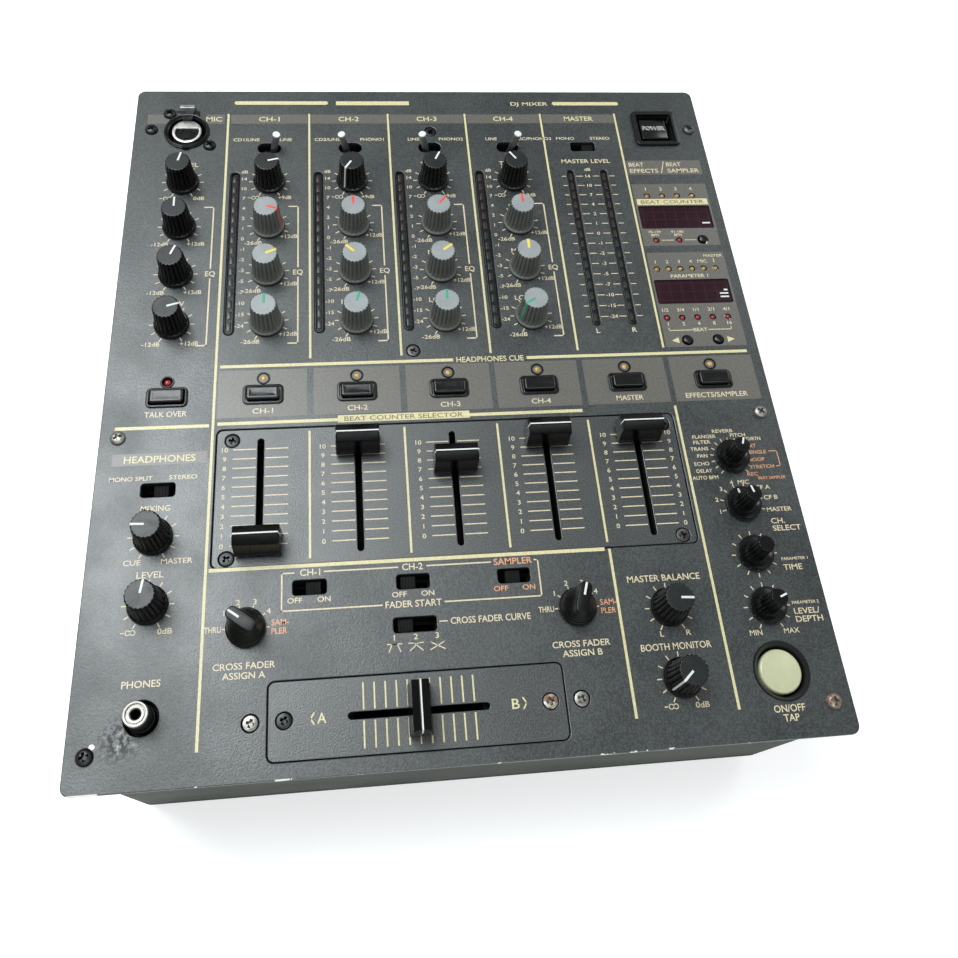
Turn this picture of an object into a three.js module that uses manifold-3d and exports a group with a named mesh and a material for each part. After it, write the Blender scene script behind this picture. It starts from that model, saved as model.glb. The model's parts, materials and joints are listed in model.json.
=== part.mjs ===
// A four-channel tabletop audio mixer for disc jockeys, in millimetres.
// +X points to the right-hand side, +Y to the rear with the connectors, +Z up.
// The origin is on the table, under the middle of the control surface.
import * as THREE from "three";
import { mergeVertices } from "three/addons/utils/BufferGeometryUtils.js";
import Module from "manifold-3d";

const wasm = await Module();
wasm.setup();

// ---------- Driving dimensions ----------

const PANEL_WIDTH = 320;
const PANEL_DEPTH = 360;
const PANEL_THICKNESS = 2;
const PANEL_CORNER = 4;
const FOOT_HEIGHT = 8;
const PANEL_TOP = 90;
const PANEL_UNDERSIDE = PANEL_TOP - PANEL_THICKNESS;
const SHEET = 1.2;
const GAP = 0.4;

// The chassis stands in from the panel's edges.
const CHASSIS_SIDE_INSET = 12.5;
const CHASSIS_FRONT_INSET = 2;
const CHASSIS_REAR_INSET = 12;
const CHASSIS_CORNER = 6;
const FOOT_INSET = 36;

// Control strips run from front to rear, one beside the other.
// Strip 0 holds microphone and headphones, 1 to 4 the channels, 5 the master, 6 the effects.
const STRIP_PITCH = 44;
const STRIP_0_X = 28.4;
const CHANNELS = [1, 2, 3, 4];

// The circuit board that carries the controls fills the case from wall to wall.
const BOARD_TOP = 71.6;
const BOARD_THICKNESS = 1.6;
const BOARD_EDGE_GAP = 2;
const BOARD_CORNER = 3;
// Components are sunk this far into the board, so that they join it.
const SEAT = 0.5;

// Rotary controls.
const SHAFT_RADIUS = 2.9;
const SHAFT_BOTTOM = 76;
const SHAFT_HOLE_RADIUS = 4.2;
const KNOB_LIFT = 0.5;
const KNOB_BASE = PANEL_TOP + KNOB_LIFT;
const FLUTED_KNOB_TOP = PANEL_TOP + 17.05;
const LOW_KNOB_TOP = PANEL_TOP + 15.7;
const POINTER_HEIGHT = 0.3;
const POINTER_WIDTH = 1.2;
const TONE_KNOB_SHIFT = 0.8;
const ROW_TOP_Y = 294.5;
const ROW_PITCH = 29.3;

// Linear faders.
const FADER_TRAVEL = 45;
const FADER_MIDDLE_Y = 116.9;
const FADER_SLOT_WIDTH = 2.9;
const FADER_SLOT_CORNER = 1.4;
const FADER_STRIP_SHIFT = -0.5;
const FADER_TRACK = { width: 10, extra: 14, top: 85, wellWidth: 4, wellExtra: 8, wellFloor: 74 };
const FADER_CAP_WIDTH = 20;

// Toggle levers.
const TOGGLE_Y = 317.9;
const TOGGLE_TILT = 11;
const TOGGLE_PIVOT_Z = PANEL_TOP - 13;
const TOGGLE_LENGTH = 24.6;
const TOGGLE_STRIP_SHIFT = 0.4;

// ---------- Places on the panel, counted from its front left corner ----------

const stripX = (index) => STRIP_0_X + STRIP_PITCH * index;
const faderX = (fader) => stripX(fader.strip) + FADER_STRIP_SHIFT;
const toggleX = (toggle) => stripX(toggle.strip) + TOGGLE_STRIP_SHIFT;

const knobRows = { trim: 0, hi: 1, mid: 2, low: 3 };

// Pointer directions at rest, in degrees anticlockwise from +X.
const channelRest = {
  1: { trim: 14, hi: -18, mid: 24, low: 87 },
  2: { trim: 236, hi: 90, mid: 134, low: 73 },
  3: { trim: 63, hi: 52, mid: 37, low: 88 },
  4: { trim: 124, hi: 89, mid: 90, low: 212 },
};
const microphoneRest = { level: 76, hi: 90, mid: 68, low: 16 };

const knobs = [];

function addKnob(name, style, x, y, rest) {
  knobs.push({ name: `${name}_knob`, style, x, y, rest });
}

const microphoneRows = Object.entries(microphoneRest);
microphoneRows.forEach(([row, rest], index) => {
  addKnob(`microphone_${row}`, "fluted", 28, ROW_TOP_Y - ROW_PITCH * index, rest);
});

for (const channel of CHANNELS) {
  const x = stripX(channel) + TONE_KNOB_SHIFT;
  for (const [row, index] of Object.entries(knobRows)) {
    const y = ROW_TOP_Y - ROW_PITCH * index;
    addKnob(`channel_${channel}_${row}`, "fluted", x, y, channelRest[channel][row]);
  }
}

addKnob("headphones_mixing", "fluted", 27.2, 100.2, 177);
addKnob("headphones_level", "fluted", 27.2, 70.9, 81);
addKnob("master_balance", "fluted", 248.2, 56.6, -4);
addKnob("booth_level", "fluted", 248.2, 27.1, 221);
addKnob("crossfader_assign_a", "bar", 67.5, 59, 144);
addKnob("crossfader_assign_b", "bar", 207.7, 59, 72);
addKnob("effect_selector", "skirted", 292.2, 125, 70);
addKnob("effect_channel", "skirted", 292.2, 101.4, 105);
addKnob("effect_time", "skirted", 292.2, 77.9, 90);
addKnob("effect_depth", "skirted", 292.2, 54.4, 22);

// Rest places along each fader's travel, from 0 at the front to 1 at the rear.
const faders = [
  { name: "channel_1_fader", strip: 1, rest: 0 },
  { name: "channel_2_fader", strip: 2, rest: 1 },
  { name: "channel_3_fader", strip: 3, rest: 0.75 },
  { name: "channel_4_fader", strip: 4, rest: 1 },
  { name: "master_fader", strip: 5, rest: 1 },
];
const crossfader = { x: 137.5, y: 21.8 };

// side is 1 for a lever leaning to the right and -1 to the left.
const toggles = [
  { name: "channel_1_input_toggle", strip: 1, side: 1 },
  { name: "channel_2_input_toggle", strip: 2, side: -1 },
  { name: "channel_3_input_toggle", strip: 3, side: -1 },
  { name: "channel_4_input_toggle", strip: 4, side: 1 },
];

const CUE_Y = 167;
const barButtons = [
  { name: "talk_over_button", x: stripX(0) },
  { name: "channel_1_cue_button", x: stripX(1) },
  { name: "channel_2_cue_button", x: stripX(2) },
  { name: "channel_3_cue_button", x: stripX(3) },
  { name: "channel_4_cue_button", x: stripX(4) },
  { name: "master_cue_button", x: stripX(5) },
  { name: "effect_cue_button", x: stripX(6) },
];
const BAR_BUTTON = { width: 15.4, depth: 6.9, corner: 1.5, proud: 3, bottom: 84 };

const powerButton = { x: 293, y: 330.8, width: 19.6, depth: 19.4, bottom: 82 };
const POWER_FRAME = { width: 26, depth: 25.4, corner: 2.5, height: 3 };
const effectButton = { x: 292.2, y: 27.2, radius: 9.75, crown: 8.4, bottom: 83, wellGap: 2.3 };

// at is the slider's place in its window at rest, counted from the window's middle.
const slideSwitches = [
  { name: "master_mono_switch", x: 248.2, y: 317.9, window: 14.2, at: 3.2 },
  { name: "headphones_mono_switch", x: 27.6, y: 121.6, window: 14.8, at: 1.3 },
  { name: "fader_start_1_switch", x: 93.7, y: 74.6, window: 14.4, at: 1.5 },
  { name: "fader_start_2_switch", x: 137.8, y: 74.6, window: 14.4, at: -2.2 },
  { name: "fader_start_sampler_switch", x: 181.8, y: 74.6, window: 14.4, at: -0.4 },
  { name: "crossfader_curve_switch", x: 137.6, y: 56.3, window: 18.4, at: -4 },
];
const SLIDER = { width: 6.4, depth: 5.4, windowDepth: 6.4, top: PANEL_TOP - 1.5 };

const microphoneSocket = { x: 28.1, y: 329.6, barrel: 11, bottom: 66 };
const phonesJack = { x: 28, y: 26.5, collar: 6.3, bore: 1.85, top: 101 };

// ---------- Shape helpers ----------

const radians = THREE.MathUtils.degToRad;

function regularPolygon(radius, sides, x = 0, y = 0) {
  const points = [];
  for (let index = 0; index < sides; index += 1) {
    const angle = (2 * Math.PI * (index + 0.5)) / sides;
    points.push(new THREE.Vector2(x + radius * Math.cos(angle), y + radius * Math.sin(angle)));
  }
  return points;
}

// A rectangle centred on x, y. Each corner is an arc of the given number of steps.
function roundedRectangle(width, depth, corner, x = 0, y = 0, steps = 2) {
  const points = [];
  const centreX = width / 2 - corner;
  const centreY = depth / 2 - corner;
  const quadrants = [[1, 1], [-1, 1], [-1, -1], [1, -1]];
  quadrants.forEach(([signX, signY], quadrant) => {
    for (let step = 0; step <= steps; step += 1) {
      const angle = (Math.PI / 2) * (quadrant + step / steps);
      const px = x + signX * centreX + corner * Math.cos(angle);
      const py = y + signY * centreY + corner * Math.sin(angle);
      points.push(new THREE.Vector2(px, py));
    }
  });
  return points;
}

function rectangle(width, depth, x = 0, y = 0) {
  const halfWidth = width / 2;
  const halfDepth = depth / 2;
  return [
    new THREE.Vector2(x - halfWidth, y - halfDepth),
    new THREE.Vector2(x + halfWidth, y - halfDepth),
    new THREE.Vector2(x + halfWidth, y + halfDepth),
    new THREE.Vector2(x - halfWidth, y + halfDepth),
  ];
}

// A vertical prism from one height to another.
function prism(outline, bottom, top) {
  const shape = new THREE.Shape(outline);
  const geometry = new THREE.ExtrudeGeometry(shape, { depth: top - bottom, bevelEnabled: false });
  return geometry.translate(0, 0, bottom);
}

// A solid of revolution about Z from radius and height pairs, listed upwards.
function turned(profile, sides) {
  const points = profile.map(([radius, height]) => new THREE.Vector2(radius, height));
  return new THREE.LatheGeometry(points, sides).rotateX(Math.PI / 2);
}

function solidFrom(geometry) {
  const plain = geometry.clone();
  plain.deleteAttribute("normal");
  plain.deleteAttribute("uv");
  const merged = mergeVertices(plain, 1e-4);
  const corners = merged.index.array;
  const kept = [];
  for (let start = 0; start < corners.length; start += 3) {
    const [a, b, c] = corners.slice(start, start + 3);
    if (a !== b && b !== c && c !== a) {
      kept.push(a, b, c);
    }
  }
  return new wasm.Manifold(new wasm.Mesh({
    numProp: 3,
    vertProperties: new Float32Array(merged.attributes.position.array),
    triVerts: new Uint32Array(kept),
  }));
}

function geometryFrom(solid) {
  const mesh = solid.getMesh();
  const geometry = new THREE.BufferGeometry();
  geometry.setAttribute("position", new THREE.BufferAttribute(mesh.vertProperties, 3));
  geometry.setIndex(new THREE.BufferAttribute(mesh.triVerts, 1));
  geometry.computeVertexNormals();
  return geometry;
}

function join(parts, cuts = []) {
  const joined = parts.map(solidFrom).reduce((whole, part) => whole.add(part));
  return cuts.map(solidFrom).reduce((whole, cut) => whole.subtract(cut), joined);
}

// ---------- Materials ----------

const finish = (color, roughness, metalness = 0) => (
  new THREE.MeshStandardMaterial({ color, roughness, metalness })
);

const paint = {
  panel: finish(0x3f4446, 0.65, 0.3),
  chassis: finish(0x4d5448, 0.6, 0.3),
  rear: finish(0x2c2e2f, 0.6, 0.3),
  board: finish(0x1f4a32, 0.6),
  socket: finish(0x17181a, 0.5),
  blackKnob: finish(0x17191a, 0.5),
  slateKnob: finish(0x3c4245, 0.5),
  greyKnob: finish(0x7b8284, 0.5),
  fader: finish(0x15161a, 0.45),
  lever: finish(0x3a3c3b, 0.35, 0.6),
  button: finish(0x2b2d2f, 0.5),
  glowButton: finish(0xcfd3a4, 0.35),
  slider: finish(0x111213, 0.5),
};

const mixer = new THREE.Group();
mixer.name = "dj_mixer";

// Everything below is placed from the panel's front left corner.
const surface = new THREE.Group();
surface.position.set(-PANEL_WIDTH / 2, -PANEL_DEPTH / 2, 0);
mixer.add(surface);

function addPiece(name, solid, material, place = {}) {
  const mesh = new THREE.Mesh(geometryFrom(solid), material);
  mesh.name = name;
  mesh.position.set(place.x ?? 0, place.y ?? 0, place.z ?? 0);
  mesh.rotation.set(0, place.tilt ?? 0, place.turn ?? 0);
  surface.add(mesh);
}

// ---------- Top panel ----------

function faderSlot(fader) {
  const length = FADER_TRAVEL + 10;
  return roundedRectangle(FADER_SLOT_WIDTH, length, FADER_SLOT_CORNER, faderX(fader), FADER_MIDDLE_Y);
}

function crossfaderSlot() {
  const length = FADER_TRAVEL + 12.4;
  return roundedRectangle(length, FADER_SLOT_WIDTH, FADER_SLOT_CORNER, crossfader.x, crossfader.y);
}

function toggleSlot(toggle) {
  return roundedRectangle(12.6, 7, 3.4, toggleX(toggle), TOGGLE_Y, 3);
}

function panelHoles() {
  const power = powerButton;
  const socket = microphoneSocket;
  return [
    ...knobs.map((knob) => regularPolygon(SHAFT_HOLE_RADIUS, 8, knob.x, knob.y)),
    ...faders.map(faderSlot),
    crossfaderSlot(),
    ...toggles.map(toggleSlot),
    ...barButtons.map((button) => barOutline(button, GAP)),
    rectangle(power.width + 2 * GAP, power.depth + 2 * GAP, power.x, power.y),
    regularPolygon(effectButton.radius + effectButton.wellGap, 20, effectButton.x, effectButton.y),
    ...slideSwitches.map((slide) => rectangle(slide.window, SLIDER.windowDepth, slide.x, slide.y)),
    regularPolygon(socket.barrel + 0.5, 20, socket.x, socket.y),
    regularPolygon(phonesJack.collar + 0.5, 16, phonesJack.x, phonesJack.y),
  ];
}

// The outline of a bar-shaped button's cap, grown by a clearance.
function barOutline(button, clearance) {
  const width = BAR_BUTTON.width + 2 * clearance;
  const depth = BAR_BUTTON.depth + 2 * clearance;
  return roundedRectangle(width, depth, BAR_BUTTON.corner, button.x, CUE_Y, 1);
}

function buildTopPanel() {
  const middleX = PANEL_WIDTH / 2;
  const middleY = PANEL_DEPTH / 2;
  const outline = roundedRectangle(PANEL_WIDTH, PANEL_DEPTH, PANEL_CORNER, middleX, middleY, 3);
  const plate = prism(outline, PANEL_UNDERSIDE, PANEL_TOP);
  // The power button stands in a raised frame.
  const { width, depth, corner, height } = POWER_FRAME;
  const frame = roundedRectangle(width, depth, corner, powerButton.x, powerButton.y, 1);
  const frameTop = PANEL_TOP + height;
  const raised = prism(frame, PANEL_TOP - SEAT, frameTop);
  const holes = panelHoles().map((hole) => prism(hole, PANEL_UNDERSIDE - 1, frameTop + 1));
  addPiece("top_panel", join([plate, raised], holes), paint.panel);
}

// ---------- Chassis and rear panel ----------

function feet() {
  const top = FOOT_HEIGHT + SEAT;
  const foot = turned([[0, 0], [9.5, 0], [11.5, 3], [11.5, top], [0, top]], 12);
  const places = [];
  for (const x of [FOOT_INSET, PANEL_WIDTH - FOOT_INSET]) {
    for (const y of [FOOT_INSET, PANEL_DEPTH - FOOT_INSET]) {
      places.push(foot.clone().translate(x, y, 0));
    }
  }
  return places;
}

function buildChassis() {
  const width = PANEL_WIDTH - 2 * CHASSIS_SIDE_INSET;
  const depth = PANEL_DEPTH - CHASSIS_FRONT_INSET - CHASSIS_REAR_INSET;
  const middleX = PANEL_WIDTH / 2;
  const middleY = CHASSIS_FRONT_INSET + depth / 2;
  const overrun = 20;
  // The outline runs past the rear, where it is cut off square.
  const outerDepth = depth + overrun;
  const outerY = middleY + overrun / 2;
  const outer = roundedRectangle(width, outerDepth, CHASSIS_CORNER, middleX, outerY, 3);
  const inner = roundedRectangle(
    width - 2 * SHEET, outerDepth - 2 * SHEET, CHASSIS_CORNER - SHEET, middleX, outerY, 3);
  const wallTop = PANEL_UNDERSIDE - GAP;
  const rearEdge = CHASSIS_FRONT_INSET + depth;
  const rearCut = rectangle(width + 10, overrun * 2, middleX, rearEdge + overrun);
  const shell = join(
    [prism(outer, FOOT_HEIGHT, wallTop)],
    [prism(inner, FOOT_HEIGHT + SHEET, wallTop + 1), prism(rearCut, 0, PANEL_TOP)]);
  const whole = feet().reduce((body, foot) => body.add(solidFrom(foot)), shell);
  addPiece("chassis", whole, paint.chassis);
}

const REAR_OUTSIDE = PANEL_DEPTH - CHASSIS_REAR_INSET - 0.2;
const REAR_INSIDE = REAR_OUTSIDE - SHEET;

// Turns an outline of panel X against height into a slab between two depths.
function rearSlab(outline, near, far) {
  const slab = prism(outline, 0, far - near);
  return slab.rotateX(Math.PI / 2).translate(0, far, 0);
}

// Sockets on the rear panel: depth is how far each housing reaches into the case.
const PHONO_JACK = { radius: 4.2, bore: 1.7, proud: 9 };
const XLR_OUTPUT = { width: 25, height: 30, bore: 9.4, depth: 14 };
const SOCKET_PROUD = 1.5;
const xlrOutputs = [{ x: 232, z: 54 }, { x: 264, z: 54 }];
const mainsInlet = { x: 286, z: 27, width: 24, height: 16, wall: 2.5, depth: 16 };

function phonoJacks() {
  const spots = [];
  for (const channel of CHANNELS) {
    for (const side of [-8, 8]) {
      for (const z of [30, 50]) {
        spots.push({ x: stripX(channel) + side, z });
      }
    }
  }
  for (const x of [232, 250]) {
    spots.push({ x, z: 27 });
  }
  return spots;
}

function buildRearPanel() {
  const width = PANEL_WIDTH - 2 * (CHASSIS_SIDE_INSET + SHEET + GAP);
  const bottom = FOOT_HEIGHT + SHEET + GAP;
  const top = PANEL_UNDERSIDE - GAP;
  const plate = rectangle(width, top - bottom, PANEL_WIDTH / 2, (top + bottom) / 2);
  const parts = [rearSlab(plate, REAR_INSIDE, REAR_OUTSIDE)];
  const cuts = [];
  for (const { x, z } of phonoJacks()) {
    const end = REAR_OUTSIDE + PHONO_JACK.proud;
    parts.push(rearSlab(regularPolygon(PHONO_JACK.radius, 8, x, z), REAR_INSIDE, end));
    cuts.push(rearSlab(regularPolygon(PHONO_JACK.bore, 6, x, z), REAR_OUTSIDE + 1, end + 1));
  }
  const face = REAR_OUTSIDE + SOCKET_PROUD;
  for (const { x, z } of xlrOutputs) {
    const { width: housingWidth, height, bore, depth } = XLR_OUTPUT;
    parts.push(rearSlab(rectangle(housingWidth, height, x, z), REAR_INSIDE - depth, face));
    cuts.push(rearSlab(regularPolygon(bore, 16, x, z), REAR_INSIDE - depth + SOCKET_PROUD, face + 1));
  }
  const inlet = mainsInlet;
  const inletDepth = REAR_INSIDE - inlet.depth;
  const housing = rectangle(inlet.width + 2 * inlet.wall, inlet.height + 2 * inlet.wall, inlet.x, inlet.z);
  const mouth = rectangle(inlet.width, inlet.height, inlet.x, inlet.z);
  parts.push(rearSlab(housing, inletDepth, face));
  cuts.push(rearSlab(mouth, inletDepth + 2, face + 1));
  addPiece("rear_panel", join(parts, cuts), paint.rear);
}

// ---------- Control board ----------

// A box-shaped component on the board, with a well in its top for the moving stem.
function component(place, size, well) {
  const body = prism(rectangle(size.width, size.depth, place.x, place.y), BOARD_TOP - SEAT, size.top);
  if (!well) {
    return solidFrom(body);
  }
  const room = prism(rectangle(well.width, well.depth, place.x, place.y), well.floor, size.top + 1);
  return solidFrom(body).subtract(solidFrom(room));
}

function potentiometer(knob) {
  const top = 80.6;
  const shaftRoom = regularPolygon(SHAFT_RADIUS + 0.9, 8, knob.x, knob.y);
  const body = component(knob, { width: 11, depth: 11, top });
  return body.subtract(solidFrom(prism(shaftRoom, SHAFT_BOTTOM - 1, top + 1)));
}

function faderTrack(place, alongX) {
  const { width, extra, top, wellWidth, wellExtra, wellFloor } = FADER_TRACK;
  const length = FADER_TRAVEL + extra;
  const wellLength = FADER_TRAVEL + wellExtra;
  if (alongX) {
    const well = { width: wellLength, depth: wellWidth, floor: wellFloor };
    return component(place, { width: length, depth: width, top }, well);
  }
  const well = { width: wellWidth, depth: wellLength, floor: wellFloor };
  return component(place, { width, depth: length, top }, well);
}

function toggleBody(toggle) {
  const well = { width: 9, depth: 5.4, floor: 73.4 };
  return component({ x: toggleX(toggle), y: TOGGLE_Y }, { width: 14, depth: 8, top: 80 }, well);
}

function slideBody(slide) {
  const well = { width: slide.window - 1, depth: 3, floor: 74.5 };
  return component(slide, { width: slide.window + 3, depth: 7, top: 81 }, well);
}

function phonesCollar() {
  const { x, y, collar, bore, top } = phonesJack;
  const seat = BOARD_TOP - SEAT;
  const profile = [[0, seat], [collar, seat], [collar, top - 2], [5.2, top - 1.4], [5.2, top], [0, top]];
  const hole = prism(regularPolygon(bore, 8), 80, top + 1);
  return join([turned(profile, 12)], [hole]).translate([x, y, 0]);
}

// The board's outline follows the case, with its front corners cut off.
function boardOutline() {
  const left = CHASSIS_SIDE_INSET + SHEET + BOARD_EDGE_GAP;
  const right = PANEL_WIDTH - left;
  const front = CHASSIS_FRONT_INSET + SHEET + BOARD_EDGE_GAP;
  const rear = REAR_INSIDE - BOARD_EDGE_GAP;
  return [
    new THREE.Vector2(left + BOARD_CORNER, front),
    new THREE.Vector2(right - BOARD_CORNER, front),
    new THREE.Vector2(right, front + BOARD_CORNER),
    new THREE.Vector2(right, rear),
    new THREE.Vector2(left, rear),
    new THREE.Vector2(left, front + BOARD_CORNER),
  ];
}

function buildControlBoard() {
  const socket = microphoneSocket;
  const socketHole = prism(regularPolygon(socket.barrel + 1, 20, socket.x, socket.y), 60, 80);
  const board = join([prism(boardOutline(), BOARD_TOP - BOARD_THICKNESS, BOARD_TOP)], [socketHole]);
  const components = [
    ...knobs.map(potentiometer),
    ...faders.map((fader) => faderTrack({ x: faderX(fader), y: FADER_MIDDLE_Y }, false)),
    faderTrack(crossfader, true),
    ...toggles.map(toggleBody),
    ...slideSwitches.map(slideBody),
    ...barButtons.map((button) => component({ x: button.x, y: CUE_Y }, { width: 8, depth: 8, top: 78 })),
    component(powerButton, { width: 14, depth: 14, top: 76 }),
    component(effectButton, { width: 12, depth: 12, top: 78 }),
    phonesCollar(),
  ];
  addPiece("control_board", components.reduce((whole, part) => whole.add(part), board), paint.board);
}

// ---------- Microphone socket ----------

function buildMicrophoneSocket() {
  const { barrel, bottom } = microphoneSocket;
  const flange = { radius: 12.15, bottom: PANEL_TOP + 0.4, top: PANEL_TOP + 2 };
  const insulator = { radius: 8, top: PANEL_TOP + 0.6 };
  const groove = { radius: 9.9, floor: 76 };
  const body = turned([
    [0, bottom],
    [barrel, bottom],
    [barrel, flange.bottom],
    [flange.radius, flange.bottom],
    [flange.radius, flange.top],
    [groove.radius, flange.top],
    [groove.radius, groove.floor],
    [insulator.radius, groove.floor],
    [insulator.radius, insulator.top],
    [0, insulator.top],
  ], 16);
  const contacts = [30, 150, 270].map((angle) => {
    const x = 4 * Math.cos(radians(angle));
    const y = 4 * Math.sin(radians(angle));
    return prism(regularPolygon(1.3, 6, x, y), groove.floor + 2, flange.top);
  });
  const { x: socketX, y: socketY } = microphoneSocket;
  addPiece("microphone_socket", join([body], contacts), paint.socket, { x: socketX, y: socketY });
}

// ---------- Knobs ----------

const KNOB_SIDES = 12;

function pointerRidge(inner, outer, top) {
  const middle = (inner + outer) / 2;
  const outline = rectangle(outer - inner, POINTER_WIDTH, middle, 0);
  return prism(outline, top - SEAT, top + POINTER_HEIGHT);
}

// The shaft starts every profile; heights are counted from the table.
const shaftProfile = [[0, SHAFT_BOTTOM], [SHAFT_RADIUS, SHAFT_BOTTOM], [SHAFT_RADIUS, KNOB_BASE]];

const knobStyles = {
  fluted() {
    const top = FLUTED_KNOB_TOP;
    const flange = 8.35;
    const profile = [[flange, KNOB_BASE], [flange, KNOB_BASE + 1.5], [6.2, top], [0, top]];
    const body = turned([...shaftProfile, ...profile], KNOB_SIDES);
    return join([body, pointerRidge(0.4, 6, top)]);
  },
  skirted() {
    const top = LOW_KNOB_TOP;
    const skirt = 8.1;
    const profile = [
      [skirt, KNOB_BASE], [skirt, KNOB_BASE + 2], [4.9, KNOB_BASE + 4.5], [3.7, top], [0, top],
    ];
    const body = turned([...shaftProfile, ...profile], KNOB_SIDES);
    return join([body, pointerRidge(0, 3.5, top)]);
  },
  bar() {
    const top = LOW_KNOB_TOP;
    const skirt = 8.15;
    const shoulder = KNOB_BASE + 5;
    const profile = [[skirt, KNOB_BASE], [skirt, KNOB_BASE + 2.5], [6.6, shoulder], [0, shoulder]];
    const round = turned([...shaftProfile, ...profile], KNOB_SIDES);
    const bar = prism(roundedRectangle(13.6, 5.4, 1.5, 0.4, 0), shoulder - 2, top);
    return join([round, bar, pointerRidge(1.5, 7, top)]);
  },
};

function knobPaint(name) {
  if (/^channel_._(hi|mid|low)_knob$/.test(name)) {
    return paint.greyKnob;
  }
  return name.includes("trim") ? paint.slateKnob : paint.blackKnob;
}

function buildKnobs() {
  for (const knob of knobs) {
    const place = { x: knob.x, y: knob.y, turn: radians(knob.rest) };
    addPiece(knob.name, knobStyles[knob.style](), knobPaint(knob.name), place);
  }
}

// ---------- Faders ----------

// The cap's side view, with its finger hollows on both slopes, over its depth and height.
function faderCap() {
  const low = PANEL_TOP + 1.5;
  const top = PANEL_TOP + 16.5;
  const side = [
    [-5.5, low], [5.5, low], [5, low + 5], [3.4, low + 9.5], [2.6, top - 1.2], [1.4, top],
    [-1.4, top], [-2.6, top - 1.2], [-3.4, low + 9.5], [-5, low + 5],
  ].map(([depth, height]) => new THREE.Vector2(depth, height));
  const cap = prism(side, -FADER_CAP_WIDTH / 2, FADER_CAP_WIDTH / 2);
  // The extrusion runs along Z, so it is laid down along X.
  cap.rotateX(Math.PI / 2).rotateZ(Math.PI / 2);
  const stem = prism(rectangle(1.6, 6), SHAFT_BOTTOM, low + 1);
  return join([cap, stem]);
}

function buildFaders() {
  for (const fader of faders) {
    const y = FADER_MIDDLE_Y + (fader.rest - 0.5) * FADER_TRAVEL;
    addPiece(fader.name, faderCap(), paint.fader, { x: faderX(fader), y });
  }
  addPiece("crossfader", faderCap(), paint.fader, { ...crossfader, turn: Math.PI / 2 });
}

// ---------- Toggles ----------

function buildToggles() {
  const end = TOGGLE_LENGTH;
  const tip = [[1.75, 8], [2.1, end - 1], [1.6, end], [0, end]];
  const lever = turned([[0, -2], [2, -2], [2.3, 4], ...tip], 10);
  for (const toggle of toggles) {
    const tilt = radians(TOGGLE_TILT * toggle.side);
    const place = { x: toggleX(toggle), y: TOGGLE_Y, z: TOGGLE_PIVOT_Z, tilt };
    addPiece(toggle.name, solidFrom(lever), paint.lever, place);
  }
}

// ---------- Buttons ----------

// A cap's plunger stands clear above the switch on the board.
const PLUNGER_BOTTOM = 80.4;

function plunger(side, capBottom, x = 0, y = 0) {
  return prism(rectangle(side, side, x, y), PLUNGER_BOTTOM, capBottom + SEAT);
}

function buildBarButtons() {
  for (const button of barButtons) {
    const { bottom, proud } = BAR_BUTTON;
    const cap = prism(barOutline(button, 0), bottom, PANEL_TOP + proud);
    addPiece(button.name, join([cap, plunger(5, bottom, button.x, CUE_Y)]), paint.button);
  }
}

function buildPowerButton() {
  const { x, y, width, depth, bottom } = powerButton;
  const cap = prism(rectangle(width, depth, x, y), bottom, PANEL_TOP - 0.6);
  addPiece("power_button", join([cap, plunger(8, bottom, x, y)]), paint.button);
}

function buildEffectButton() {
  const { x, y, radius, crown, bottom } = effectButton;
  const top = PANEL_TOP + 1.2;
  const cap = turned([[0, bottom], [radius, bottom], [radius, PANEL_TOP], [crown, top], [0, top]], 20);
  addPiece("effect_on_button", join([cap, plunger(6, bottom)]), paint.glowButton, { x, y });
}

// ---------- Slide switches ----------

function buildSlideSwitches() {
  for (const slide of slideSwitches) {
    const nub = prism(rectangle(SLIDER.width, SLIDER.depth), 82, SLIDER.top);
    const stem = prism(rectangle(3, 2), SHAFT_BOTTOM, 82.5);
    addPiece(slide.name, join([nub, stem]), paint.slider, { x: slide.x + slide.at, y: slide.y });
  }
}

buildChassis();
buildRearPanel();
buildTopPanel();
buildControlBoard();
buildMicrophoneSocket();
buildKnobs();
buildFaders();
buildToggles();
buildBarButtons();
buildPowerButton();
buildEffectButton();
buildSlideSwitches();

export default mixer;
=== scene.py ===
import json
import math
import random

import bmesh
import bpy
from mathutils import Matrix, Vector


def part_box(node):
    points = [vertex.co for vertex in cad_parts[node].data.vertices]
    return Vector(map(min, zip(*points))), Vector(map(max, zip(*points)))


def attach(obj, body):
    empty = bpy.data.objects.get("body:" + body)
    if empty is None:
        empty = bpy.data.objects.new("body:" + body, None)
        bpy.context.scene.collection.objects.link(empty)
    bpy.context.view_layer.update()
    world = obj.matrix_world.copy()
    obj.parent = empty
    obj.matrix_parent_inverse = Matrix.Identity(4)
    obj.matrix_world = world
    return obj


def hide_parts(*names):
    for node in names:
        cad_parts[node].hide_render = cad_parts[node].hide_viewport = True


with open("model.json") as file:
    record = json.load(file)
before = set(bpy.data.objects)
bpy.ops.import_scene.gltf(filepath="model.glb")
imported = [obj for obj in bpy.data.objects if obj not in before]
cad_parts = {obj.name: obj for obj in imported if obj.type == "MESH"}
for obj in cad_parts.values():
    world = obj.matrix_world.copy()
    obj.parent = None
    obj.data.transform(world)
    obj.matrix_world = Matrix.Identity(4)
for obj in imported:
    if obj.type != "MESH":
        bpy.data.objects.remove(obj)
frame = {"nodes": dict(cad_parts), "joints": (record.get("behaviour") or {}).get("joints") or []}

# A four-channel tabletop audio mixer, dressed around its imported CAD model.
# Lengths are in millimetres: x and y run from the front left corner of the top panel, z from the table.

random.seed(41)

MM = 0.001
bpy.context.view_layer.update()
panel_low, panel_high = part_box("top_panel")

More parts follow.
